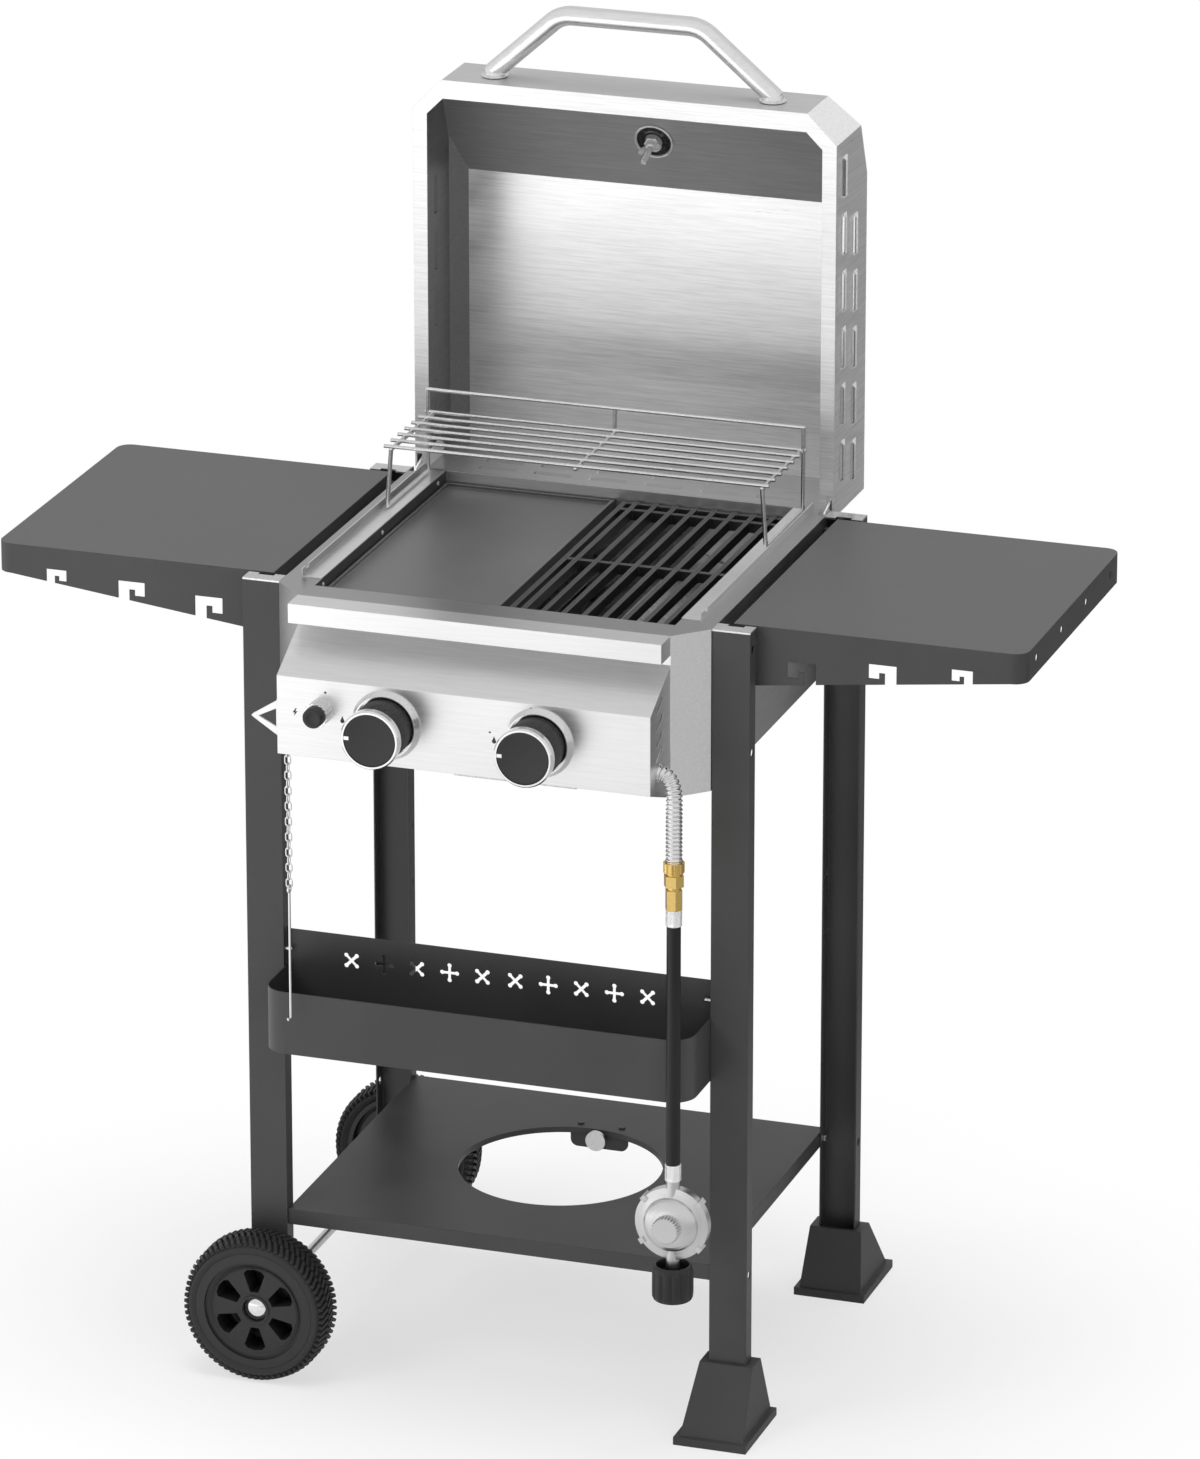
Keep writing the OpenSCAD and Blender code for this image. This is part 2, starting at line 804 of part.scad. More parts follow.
module wheel_rear() { at_wheel(true) wheel_shape(); }
module tyre_front() { at_wheel(false) tyre_shape(); }
module tyre_rear() { at_wheel(true) tyre_shape(); }
module hub_caps() {
    color(steel) for (rear = [false, true]) mirror_y(rear)
        translate([-leg_x, -axle_out, axle_z]) fore() intersection() {
            cylinder(r = hub_cap_r, h = hub_cap_t);
            up(hub_cap_t - 2 * hub_cap_r) sphere(r = 2 * hub_cap_r);
        }
}

// Bottom shelf: a folded pan with the cylinder's opening
module bottom_shelf() {
    color(charcoal) difference() {
        union() {
            difference() {
                translate([-low_shelf_x, -low_shelf_y, low_shelf_z - low_shelf_edge])
                    cube([2 * low_shelf_x, 2 * low_shelf_y, low_shelf_edge]);
                translate([-low_shelf_x + sheet_t, -low_shelf_y + sheet_t, low_shelf_z - sheet_t - leg_top])
                    cube([2 * (low_shelf_x - sheet_t), 2 * (low_shelf_y - sheet_t), leg_top]);
            }
            translate([0, tank_hole_y, low_shelf_z - hole_edge_h])
                cylinder(r = tank_hole_r + sheet_t, h = hole_edge_h);
        }
        translate([0, tank_hole_y, low_shelf_z - low_shelf_edge - over])
            cylinder(r = tank_hole_r, h = low_shelf_edge + 2 * over);
        for (sx = [-1, 1], sy = [-1, 1])
            translate([sx * low_shelf_x, sy * leg_screw_y, low_screw_z]) rod_x(hole_r, 4 * sheet_t);
    }
}
module tank_lock_bracket() {
    z1 = low_shelf_z - sheet_t;
    color([0.12, 0.12, 0.13]) difference() {
        translate([lock_x, lock_tab_y, z1]) {
            translate([0, lock_t, 0]) fore() linear_extrude(lock_t) {
                translate([-lock_w / 2, lock_round - lock_h]) square([lock_w, lock_h - lock_round]);
                translate([lock_round - lock_w / 2, -lock_h]) square([lock_w - 2 * lock_round, lock_h]);
                for (sx = [-1, 1]) translate([sx * (lock_w / 2 - lock_round), lock_round - lock_h])
                    circle(r = lock_round);
            }
            translate([-lock_w / 2, 0, -lock_t]) cube([lock_w, lock_foot_l, lock_t]);
        }
        translate([lock_x, lock_tab_y, lock_z]) rod_y(lock_screw_r + run_fit, 3 * lock_t);
    }
    color("silver") for (sx = [-1, 1])
        translate([lock_x + sx * lock_rivet[0], lock_tab_y + lock_rivet[1], low_shelf_z])
            cylinder(r = lock_rivet_r, h = lock_rivet_h);
}
module tank_lock_screw() {
    knob_y = lock_reach + lock_t + lock_travel + seat;
    color(steel) translate([lock_x, lock_tab_y - lock_reach, lock_z]) aft() {
        cylinder(r = lock_pad_r, h = lock_pad_t);
        cylinder(r = lock_screw_r, h = knob_y + lock_knob_t);
        up(knob_y) cylinder(r = lock_knob_r, h = lock_knob_t);
    }
}

// Storage tray between the front legs
module tray_outline(inset) {
    r = tray_corner_r - inset;
    x = tray_x - inset;
    y0 = tray_front_y + inset;
    y1 = tray_back_y - inset;
    for (s = [-1, 1]) translate([s * (x - r), y0 + r]) circle(r = r);
    translate([-x + r, y0]) square([2 * (x - r), y1 - y0]);
    translate([-x, y0 + r]) square([2 * x, y1 - y0 - r]);
}
module tray_cut(turned) {
    rotate([0, 0, turned ? 45 : 0]) for (a = [0, 90]) rotate([0, 0, a]) {
        square([tray_cut_len, tray_cut_arm], center = true);
        for (s = [-1, 1]) translate([s * tray_cut_len / 2, 0]) circle(r = tray_cut_dot_r);
    }
}
module storage_tray() {
    color(charcoal) difference() {
        union() {
            difference() {
                up(tray_z - sheet_t) linear_extrude(tray_front_h + sheet_t) tray_outline(0);
                up(tray_z) linear_extrude(tray_front_h + over) tray_outline(sheet_t);
            }
            translate([-tray_x, tray_back_y - sheet_t, tray_z - sheet_t])
                cube([2 * tray_x, sheet_t, tray_back_h + sheet_t]);
            for (s = [-1, 1])
                translate([s * (tray_x - sheet_t / 2), tray_back_y - sheet_t, tray_tab_z + tray_tab_h / 2])
                    cube([sheet_t, tray_tab_w / 2, tray_tab_h], center = true);
        }
        for (i = [0:tray_cut_n - 1])
            translate([(i - (tray_cut_n - 1) / 2) * tray_cut_pitch, tray_back_y, tray_cut_z])
                fore() linear_extrude(6 * sheet_t, center = true) tray_cut(tray_turns[i] == 1);
        for (sx = [-1, 1], z = tray_screw_z)
            translate([sx * tray_x, -tray_screw_y, z]) rod_x(hole_r, 4 * sheet_t);
    }
}

// Side shelves: a pan turned over, with tapered skirts and hook slots
module shelf_plan(inset) {
    r = shelf_corner_r - inset;
    x0 = shelf_in_x + inset;
    x1 = shelf_out_x - inset;
    y = shelf_y - inset;
    for (s = [-1, 1]) translate([x1 - r, s * (y - r)]) circle(r = r);
    translate([x0, -y]) square([x1 - r - x0, 2 * y]);
    translate([x0, -y + r]) square([x1 - x0, 2 * (y - r)]);
}
module hook_slot(i) {
    w = hook_w[i];
    h = hook_h[i];
    tongue = h * hook_tongue_h_share;
    entry_x = w * (hook_pocket_share + hook_tongue_share);
    translate([hook_x[i] - w / 2, shelf_top - hook_drop[i] - h]) {
        square([w * hook_pocket_share, h]);
        translate([0, tongue]) square([w, h - tongue]);
        translate([entry_x, -skirt_in]) square([w - entry_x, skirt_in + h]);
    }
}
module side_shelf() {
    color(charcoal) difference() {
        intersection() {
            difference() {
                up(shelf_top - skirt_in) linear_extrude(skirt_in) shelf_plan(0);
                up(shelf_top - skirt_in - sheet_t) linear_extrude(skirt_in) shelf_plan(sheet_t);
            }
            fore() linear_extrude(4 * shelf_y, center = true) polygon([
                [0, shelf_top + over], [0, shelf_top - skirt_in], [taper_in_x, shelf_top - skirt_in],
                [taper_out_x, shelf_top - skirt_out], [shelf_out_x + over, shelf_top - skirt_out],
                [shelf_out_x + over, shelf_top + over]
            ]);
        }
        translate([0, -shelf_y, 0]) fore() linear_extrude(6 * sheet_t, center = true)
            for (i = [0:len(hook_x) - 1]) hook_slot(i);
        for (i = [0:end_hole_n - 1])
            translate([shelf_out_x, (i - (end_hole_n - 1) / 2) * end_hole_pitch, end_hole_z])
                rod_x(end_hole_r, 6 * sheet_t);
        for (sy = [-1, 1]) translate([bolt_x, sy * shelf_y, bolt_z])
            rod_y(bolt_r + seat, 6 * sheet_t);
    }
}
module side_shelf_left() { mirror_x(true) side_shelf(); }
module side_shelf_right() { side_shelf(); }

// A folded bracket joins each leg's open side to the shelf's skirt
module shelf_brackets() {
    z0 = bolt_z - bracket_h / 2;
    color(charcoal) each_corner() difference() {
        translate([leg_x - bracket_w / 2, -leg_edge_y, z0]) cube([bracket_w, shelf_gap, bracket_h]);
        translate([leg_x - bracket_w / 2 + bracket_t, -leg_edge_y - over, z0 - over])
            cube([bracket_w - 2 * bracket_t, shelf_gap + over - bracket_t, bracket_h + over - bracket_t]);
        translate([bolt_x, -shelf_y, bolt_z]) rod_y(bolt_r + seat, 4 * shelf_gap);
    }
}
module screw_x(len, r) {
    rotate([0, -90, 0]) {
        cylinder(r = screw_r, h = len);
        up(-head_h) cylinder(r = r, h = head_h);
    }
}
module cart_screws() {
    color(steel) {
        each_side() for (z = tray_screw_z)
            translate([leg_in + leg_t, -tray_screw_y, z]) screw_x(screw_len, tray_head_r);
        each_corner() {
            for (z = concat([low_screw_z], body_screw_z))
                translate([leg_in + leg_t, -leg_screw_y, z]) screw_x(screw_len, head_r);
            translate([bolt_x, -shelf_y + sheet_t, bolt_z]) fore() {
                cylinder(r = bolt_r, h = shelf_gap + leg_d / 2);
                up(-head_h) cylinder(r = 2 * bolt_r, h = head_h);
            }
        }
    }
}

// Firebox
module body_plan(inset) {
    k = inset * (sqrt(2) - 1);
    x = body_x - inset;
    c = chamfer - inset + k;
    y0 = -body_front + inset;
    y1 = body_back - inset;
    polygon([[-x + c, y0], [x - c, y0], [x, y0 + c], [x, y1], [-x, y1], [-x, y0 + c]]);
}
module cook_opening(inset) {
    translate([-flange_in_x + inset, cook_y[0] + inset])
        square([2 * (flange_in_x - inset), cook_y[1] - cook_y[0] - 2 * inset]);
}
module firebox_shell() {
    color(steel) difference() {
        union() {
            difference() {
                up(body_low) linear_extrude(body_h) body_plan(0);
                up(body_low + body_t) linear_extrude(body_h) body_plan(body_t);
            }
            // top flange and the cooking opening's skirt and ledge
            up(body_top - body_t) linear_extrude(body_t) difference() {
                body_plan(0);
                cook_opening(0);
            }
            up(ledge_z) linear_extrude(skirt_h) difference() {
                cook_opening(-body_t);
                cook_opening(0);
            }
            up(ledge_z - body_t) linear_extrude(body_t) difference() {
                cook_opening(-body_t);
                cook_opening(ledge_w);
            }
            // ledges for the heat shields and the burners' rear ends
            for (y = [-body_front, body_back - shield_ledge])
                translate([-body_x + chamfer, y, shield_z - body_t])
                    cube([2 * (body_x - chamfer), shield_ledge, body_t]);
            translate([chamfer - body_x, burner_back_y - burner_rest, burner_z - burner_r - body_t - seat])
                cube([2 * (body_x - chamfer), burner_back_gap + burner_rest, body_t]);
            // runners for the grease tray
            for (s = [-1, 1]) {
                translate([s * (runner_x + body_t / 2), drain_y, body_low - runner_h / 2])
                    cube([body_t, grease[1], runner_h], center = true);
                translate([s * (runner_x - runner_lip / 2), drain_y, body_low - runner_h + body_t / 2])
                    cube([runner_lip, grease[1], body_t], center = true);
            }
        }
        translate([-drain[0] / 2, drain_y - drain[1] / 2, body_low - over])
            cube([drain[0], drain[1], body_t + 2 * over]);
        for (s = [-1, 1]) {
            translate([s * burner_x, -body_front, burner_z]) rod_y(burner_r + seat, 4 * panel_return);
            // slots that let the hinge ears through
            translate([s * (slot_x[0] + slot_x[1]) / 2 - (slot_x[1] - slot_x[0]) / 2,
                slot_y, body_top - slot_h])
                cube([slot_x[1] - slot_x[0], body_back, slot_h + over]);
        }
        for (sx = [-1, 1], sy = [-1, 1], z = body_screw_z)
            translate([sx * body_x, sy * leg_screw_y, z]) rod_x(hole_r, 4 * body_t);
    }
}
module front_lip() {
    z0 = body_top - lip_h;
    y0 = -body_front - lip_d;
    color(steel) difference() {
        translate([-panel_w / 2, y0, z0]) cube([panel_w, lip_d, lip_h]);
        translate([-panel_w / 2 + body_t, y0 + body_t, z0 + body_t])
            cube([panel_w - 2 * body_t, lip_d, lip_h - 2 * body_t]);
    }
}
module panel_side(inset) {
    polygon([
        [panel_y + inset, panel_bottom - inset], [panel_y + inset, panel_face_top - inset / 2],
        [-body_front + inset, panel_back_top - inset], [-body_front + inset, panel_back_low - inset]
    ]);
}
module vent_slot() {
    for (s = [-1, 1]) translate([s * (vent_l - vent_w) / 2, 0]) circle(r = vent_w / 2);
    square([vent_l - vent_w, vent_w], center = true);
}
module control_panel() {
    color(steel) difference() {
        union() {
            difference() {
                side_on() linear_extrude(panel_w, center = true) panel_side(0);
                side_on() linear_extrude(panel_w - 2 * panel_t, center = true) polygon([
                    [panel_y + panel_t, panel_bottom - panel_reach],
                    [panel_y + panel_t, panel_face_top - panel_t / 2],
                    [-body_front, panel_back_top - panel_t], [-body_front + over, panel_back_top - panel_t],
                    [-body_front + over, panel_bottom - panel_reach]
                ]);
            }
            translate([-panel_w / 2, panel_y, panel_bottom]) cube([panel_w, panel_return, panel_t]);
        }
        for (s = [-1, 1]) {
            translate([s * burner_x, panel_y, knob_z]) rod_y(stem_hole_r, 4 * panel_t);
            for (i = [0:vent_n - 1])
                translate([s * panel_w / 2, vent_first[0], vent_first[1] - i * vent_pitch]) side_on()
                    linear_extrude(4 * panel_t, center = true) rotate([0, 0, vent_angle]) vent_slot();
        }
        translate([igniter_x, panel_y, igniter_z]) rod_y(sleeve_r + seat, 4 * panel_t);
        translate([panel_w / 2, manifold_y, manifold_z]) rod_x(pipe_r + step_in, 4 * panel_t);
        translate([chain_x, chain_y - link_w / 2 + link_r, panel_bottom])
            cylinder(r = 3 * link_r, h = 4 * panel_t, center = true);
        translate([chain_x - over, chain_y - link_w / 2 + chain_slot_in, panel_bottom - over])
            cube([2 * over, panel_return, panel_t + 2 * over]);
    }
}

// Rails on the firebox's top flange, which carry the warming rack
module side_rails() {
    color(steel) each_side() difference() {
        translate([rail_x, rail_y[0], body_top]) {
            cube([rail_web_x - rail_x, rail_y[1] - rail_y[0], body_t]);
            translate([rail_web_x - rail_x - body_t, 0, 0]) cube([body_t, rail_y[1] - rail_y[0], rail_h]);
        }
        translate([rail_web_x - 2 * over, rail_y[0] + rail_notch[0], body_top + rail_h - rail_notch[2]])
            cube([4 * over, rail_notch[1], rail_h]);
    }
}
module griddle_plate() {
    z1 = body_top - cook_drop;
    color([0.13, 0.13, 0.14]) translate([griddle_x, 0, z1]) difference() {
        translate([-griddle[0] / 2, -griddle[1] / 2, -griddle[2]]) cube(griddle);
        translate([-griddle[0] / 2 + pan_t, -griddle[1] / 2 + pan_t, -griddle_rim])
            cube([griddle[0] - 2 * pan_t, griddle[1] - 2 * pan_t, griddle_rim + over]);
        translate([-griddle[0] / 2 + pan_t, -griddle[1] / 2 + pan_t, -griddle[2] - over])
            cube([griddle[0] - 2 * pan_t, griddle[1] - 2 * pan_t,
                griddle[2] + over - griddle_rim - pan_floor_t]);
    }
}
module cooking_grate() {
    z1 = body_top - cook_drop;
    low = z1 - griddle[2];
    color([0.12, 0.12, 0.13]) translate([grate_x, 0, 0]) {
        difference() {
            translate([-grate[0] / 2, -grate[1] / 2, low]) cube([grate[0], grate[1], griddle[2]]);
            translate([-grate[0] / 2 + bar_w, -grate[1] / 2 + bar_w, low - over])
                cube([grate[0] - 2 * bar_w, grate[1] - 2 * bar_w, griddle[2] + 2 * over]);
        }
        for (i = [0:bar_n - 1])
            translate([(i - (bar_n - 1) / 2) * bar_pitch - bar_w / 2, -grate[1] / 2, z1 - bar_h + step_in])
                cube([bar_w, grate[1], bar_h]);
        for (i = [0:rib_n - 1])
            translate([-grate[0] / 2, (i - (rib_n - 1) / 2) * grate[1] * rib_share - bar_w / 2, z1 - bar_h])
                cube([grate[0], bar_w, bar_h]);
    }
}
module warming_rack() {
    foot_z = body_top + body_t + wire_r * ball_share;
    under_z = rack_z - rack_bar_r - wire_r / 2;
    step = (rack_y[1] - rack_y[0]) / (rack_bar_n - 1);
    side_x = rack_x - 2 * wire_r;
    color(steel) {
        for (i = [0:rack_bar_n - 1])
            translate([0, rack_y[0] + i * step, rack_z]) rod_x(rack_bar_r, 2 * rack_x + 3 * rack_bar_r);
        for (x = [-side_x, 0, side_x]) wire([x, rack_y[0], under_z], [x, rack_y[1], under_z], wire_r);
        translate([0, rack_y[1], rack_guard_z]) rod_x(wire_r * guard_share, 2 * rack_x);
        for (s = [-1, 1]) {
            x = s * rack_x;
            wire([x, rack_y[1], foot_z], [x, rack_y[1], rack_guard_z], wire_r);
            wire([s * side_x, rack_y[0], under_z], [x, rack_y[0], foot_z], wire_r);
            wire([x, rack_y[0], foot_z], [x, rack_y[1], foot_z], wire_r);
        }
        translate([0, rack_y[1] + rack_bar_r, under_z]) cylinder(r = wire_r, h = rack_guard_z - under_z);
    }
}

// Burners, shields and gas train
module burners() {
    color([0.6, 0.6, 0.62]) for (s = [-1, 1]) translate([s * burner_x, 0, burner_z]) difference() {
        translate([0, burner_front_y, 0]) aft()
            cylinder(r = burner_r, h = burner_back_y - burner_front_y);
        translate([0, burner_front_y - over, 0]) aft()
            cylinder(r = burner_r - burner_t, h = burner_back_y - burner_front_y);
        for (i = [0:port_n - 1]) translate([0, -body_front / 2 - port_start + i * port_pitch, burner_r])
            rod_x(port_r, 3 * burner_r);
    }
}
module heat_shields() {
    x1 = shield_w / 2;
    color([0.35, 0.35, 0.36]) for (s = [-1, 1])
        translate([s * burner_x, (body_back - body_front) / 2, shield_z + seat]) fore()
            linear_extrude(body_back + body_front - shield_end_gap, center = true) polygon([
                [-x1, 0], [-x1 + 2 * body_t, 0], [0, shield_rise - body_t], [x1 - 2 * body_t, 0], [x1, 0],
                [0, shield_rise]
            ]);
}
module gas_manifold() {
    color([0.6, 0.6, 0.6]) translate([0, manifold_y, manifold_z]) difference() {
        translate([-burner_x - manifold_tail, 0, 0]) right()
            cylinder(r = manifold_r, h = manifold_end_x + burner_x + manifold_tail);
        translate([-burner_x - manifold_tail + manifold_plug, 0, 0]) right()
            cylinder(r = manifold_bore_r, h = panel_w);
    }
}
module gas_valves() {
    z0 = manifold_z + manifold_r;
    color([0.75, 0.62, 0.3]) for (s = [-1, 1]) translate([s * burner_x, manifold_y, 0]) difference() {
        union() {
            up(z0) cylinder(r = valve_r, h = knob_z + valve_r - z0);
            up(knob_z) fore()
                cylinder(r = stem_r + valve_neck, h = stem_front - valve_neck_in);
            up(burner_z) aft() cylinder(r = orifice_r, h = orifice_l);
        }
        translate([0, knob_push, knob_z]) fore()
            cylinder(r = stem_r + run_fit, h = stem_front + knob_push + over);
    }
}
module valve_stem(x) {
    y1 = manifold_y - stem_back_gap;
    y0 = panel_y - knob_reach + knob_ring_l + knob_web + seat;
    color([0.75, 0.62, 0.3]) translate([x, y1, knob_z]) fore() cylinder(r = stem_r, h = y1 - y0);
}
module valve_stem_left() { valve_stem(-burner_x); }
module valve_stem_right() { valve_stem(burner_x); }

// Knobs: a fluted grip, a bright front ring and a pointer notch
module knob(x) {
    len = knob_reach - knob_back_gap;
    color([0.1, 0.1, 0.11]) translate([x, panel_y - knob_reach, knob_z]) aft() difference() {
        union() {
            up(knob_face_dip) cylinder(r = knob_face_r, h = knob_ring_l);
            up(knob_ring_l) cylinder(r = knob_r, h = len - knob_ring_l);
        }
        up(knob_ring_l + knob_web) cylinder(r = stem_r + run_fit, h = len);
        difference() {
            up(knob_ring_l + knob_hollow_z) cylinder(r = knob_r - knob_wall, h = len);
            up(knob_ring_l) cylinder(r = stem_r + knob_boss, h = len);
        }
        for (i = [0:flute_n - 1]) rotate([0, 0, i * 360 / flute_n])
            translate([knob_r + flute_r / 2, 0, knob_ring_l - over])
                cylinder(r = flute_r, h = len + over, $fn = 16);
        translate([-knob_face_r - over, -pointer[1] / 2, -over])
            cube([pointer[0] + over, pointer[1], over + pointer[2]]);
    }
}
module knob_ring(x) {
    bore = knob_face_r + seat / 3;
    color(steel) translate([x, panel_y - knob_reach, knob_z]) {
        aft() rotate_extrude() polygon([
            [bore, 0], [knob_ring_r - knob_ring_round[0], 0], [knob_ring_r, knob_ring_round[1]],
            [knob_ring_r, knob_ring_l - seat / 3], [bore, knob_ring_l - seat / 3]
        ]);
        translate([-bore - ring_tongue[0], knob_face_dip, -pointer[1] / 2 + seat / 3])
            cube([pointer[0], ring_tongue[1], pointer[1] - 2 * seat / 3]);
    }
}
module knob_left() { knob(-burner_x); }
module knob_right() { knob(burner_x); }
module knob_ring_left() { knob_ring(-burner_x); }
module knob_ring_right() { knob_ring(burner_x); }
module knob_bezels() {
    color(steel) for (s = [-1, 1])
        translate([s * burner_x, panel_y, knob_z]) fore() rotate_extrude() polygon([
            [stem_hole_r + bezel_lap, 0], [bezel_r, 0], [bezel_r, step_in], [bezel_bore_r + bezel_t, bezel_h],
            [bezel_bore_r, bezel_h], [bezel_bore_r, bezel_t], [stem_hole_r + bezel_lap, bezel_t]
        ]);
}
module igniter_housing() {
    color(steel) translate([igniter_x, panel_y, igniter_z]) fore() difference() {
        union() {
            cylinder(r = igniter_r, h = collar_l);
            up(-sleeve_l) cylinder(r = sleeve_r, h = sleeve_l + weld);
        }
        up(-igniter_seat_z) cylinder(r = button_r + 2 * run_fit, h = sleeve_l);
        for (i = [0:flutes - 1]) rotate([0, 0, i * 360 / flutes])
            translate([igniter_r + collar_cut_out, 0, collar_base])
                cylinder(r = collar_cut_r, h = collar_l, $fn = 16);
    }
}
module igniter_button() {
    back = igniter_seat_z - igniter_push - igniter_play;
    color([0.1, 0.1, 0.11]) translate([igniter_x, panel_y + back, igniter_z]) fore()
        cylinder(r = button_r, h = button_l + back);
}
module igniter_electrodes() {
    color("ivory") for (s = [-1, 1])
        translate([s * burner_x + electrode_x, -body_front + body_t, burner_z + burner_r])
            aft() {
                cylinder(r = electrode_r * 2, h = electrode_l);
                cylinder(r = electrode_r / 2, h = electrode_tip_l);
            }
}
module grease_tray() {
    z0 = body_low - runner_h + body_t + seat;
    y0 = drain_y - grease[1] / 2 + grease_set;
    l = grease[1] + grease_over;
    low = grease[2] - grease_set;
    wide = grease[0] + 2 * grease_rim;
    color([0.6, 0.6, 0.62]) difference() {
        union() {
            translate([-grease[0] / 2, y0, z0 - low + grease_t]) cube([grease[0], l, low]);
            translate([-wide / 2, y0, z0]) cube([wide, l, grease_t]);
            translate([-wide / 2, y0 + l, z0 - low]) cube([wide, grease_t, low + grease_pull]);
        }
        translate([-grease[0] / 2 + grease_t, y0 + grease_t, z0 - low + 2 * grease_t])
            cube([grease[0] - 2 * grease_t, l - 2 * grease_t, 2 * low]);
    }
}

// Bottle opener, chain and lighting rod at the panel's left end
module bottle_opener() {
    half = opener_h / 2;
    rim = opener_shares * opener_rim;
    color(steel) translate([-panel_w / 2, opener_y, opener_z]) {
        fore() linear_extrude(opener_t, center = true) difference() {
            polygon([
                [0, -half], [0, half], [-opener_reach + opener_tip, opener_tip], [-opener_reach, 0],
                [-opener_reach + opener_tip, -opener_tip]
            ]);
            polygon([[-rim[0], -half + rim[1]], [-rim[0], half - rim[1]], [-opener_reach + rim[2], 0]]);
        }
        translate([-opener_t, 0, -half]) cube([opener_t, opener_flange, opener_h]);
    }
}
module chain_link() {
    r = link_w / 2 - link_r;
    straight = link_l - link_w;
    for (s = [-1, 1]) {
        translate([s * r, 0, 0]) cylinder(r = link_r, h = straight, center = true, $fn = 16);
        up(s * straight / 2) fore() rotate([0, 0, s > 0 ? 0 : 180])
            rotate_extrude(angle = 180, $fn = 24) translate([r, 0]) circle(r = link_r, $fn = 16);
    }
}
module chain_ring() {
    color("silver") translate([chain_x, chain_y, ring_mid_z]) rotate([0, 0, 90]) chain_link();
}
module match_chain() {
    color("silver") for (i = [1:link_n])
        translate([chain_x, chain_y, ring_mid_z - i * link_pitch])
            rotate([0, 0, i % 2 == 1 ? 0 : 90]) chain_link();
}
module lighting_rod() {
    color("silver") translate([chain_x, chain_y, rod_eye_z]) {
        rotate([0, 0, link_n % 2 == 1 ? 90 : 0]) fore() rotate_extrude($fn = 32)
            translate([rod_eye_r, 0]) circle(r = rod_r, $fn = 16);
        up(-rod_l) cylinder(r = rod_r, h = rod_l - rod_eye_r);
        translate([0, -3 * rod_r, -rod_l]) side_on() rotate_extrude(angle = -180, $fn = 32)
            translate([3 * rod_r, 0]) circle(r = rod_r, $fn = 16);
    }
}

// Lid, drawn closed and opened about its hinge
module lid_pose() {
    translate([0, hinge_y, hinge_z]) rotate([-lid_open, 0, 0]) translate([0, -hinge_y, -hinge_z]) children();
}
module lid_solid(t) {
    x = lid_x - t;
    k = t * (sqrt(2) - 1);
    c = chamfer - t + k;
    b = lid_bevel - t + k;
    y0 = lid_front_y + t;
    y1 = lid_back_y - t;
    z0 = t > 0 ? lid_low - over : lid_low;
    z1 = lid_high - t;
    ks = t * tan(slope_angle / 2);
    intersection() {
        side_on() linear_extrude(2 * lid_x + over, center = true) polygon([
            [y0, z0], [y0, lid_low + lid_front_h - ks], [slope_y + ks, z1], [y1, z1], [y1, z0]
        ]);
        up(z0) linear_extrude(lid_h + 2 * over) polygon([
            [-x + c, y0], [x - c, y0], [x, y0 + c], [x, y1], [-x, y1], [-x, y0 + c]
        ]);
        translate([0, y1 + over / 2, 0]) fore() linear_extrude(y1 - y0 + over) polygon([
            [-x, z0], [x, z0], [x, z1 - b], [x - b, z1], [-x + b, z1], [-x, z1 - b]
        ]);
    }
}
// A louvre: a wedge that rises to its open edge, with slanted ends
module louvre(grow) {
    l = louvre_l / 2 + grow;
    e = louvre_rise + grow;
    w0 = grow < 0 ? -over : 0;
    low = grow < 0 ? -body_t - over : -body_t / 2;
    polyhedron(
        points = [
            [-l, w0, low], [l, w0, low], [l, louvre_w + grow, low], [-l, louvre_w + grow, low],
            [-l + e, w0, louvre_rise + grow], [l - e, w0, louvre_rise + grow]
        ],
        faces = [[0, 1, 2, 3], [0, 4, 5, 1], [3, 2, 5, 4], [0, 3, 4], [1, 5, 2]]
    );
}
module side_louvres(grow) {
    for (s = [-1, 1], c = [0, 1], i = [0:side_louvre_n[c] - 1])
        mirror_x(s < 0) translate([lid_x, side_louvre_y[c] - i * side_pitch, side_louvre_z[c]])
            rotate([0, 0, 90]) fore() louvre(grow);
}
module back_louvres(grow) {
    for (z = back_louvre_z, i = [0:back_louvre_n - 1])
        translate([(i - (back_louvre_n - 1) / 2) * back_pitch, lid_back_y, z]) rotate([90, 0, 180])
            louvre(grow);
}
module on_slope() {
    translate([0, lid_front_y + dial_share * slope_dy, lid_low + lid_front_h + dial_share * slope_dz])
        rotate([slope_angle, 0, 0]) children();
}
// The lid's plan, drawn in from its edge by a rim's width at the front and at the sides
module lid_plan(front, side) {
    x = lid_x - side;
    cut = lid_x - chamfer - (side > 0 ? step_in : 0);
    y0 = lid_front_y + front;
    y1 = lid_back_y - (side > 0 ? body_t : 0);
    polygon([[-cut, y0], [cut, y0], [x, y0 + x - cut], [x, y1], [-x, y1], [-x, y0 + x - cut]]);
}
module lid_shell() {
    color(steel) lid_pose() difference() {
        union() {
            difference() {
                lid_solid(0);
                lid_solid(body_t);
            }
            up(lid_low) linear_extrude(body_t) difference() {
                lid_plan(0, 0);
                lid_plan(rim_front, rim_side);
            }
            side_louvres(0);
            back_louvres(0);
        }
        side_louvres(-body_t);
        back_louvres(-body_t);
        on_slope() cylinder(r = dial_hole_r, h = 8 * body_t, center = true);
        for (s = [-1, 1]) {
            translate([s * handle_w / 2, lid_front_y, handle_z]) rod_y(screw_r + seat, 8 * body_t);
            translate([s * (ear_x + ear_t / 2) - 3 * ear_t / 2, lid_back_y - ear_slot_l, lid_low - over])
                cube([3 * ear_t, ear_slot_l - body_t, body_t + 2 * over]);
        }
    }
}
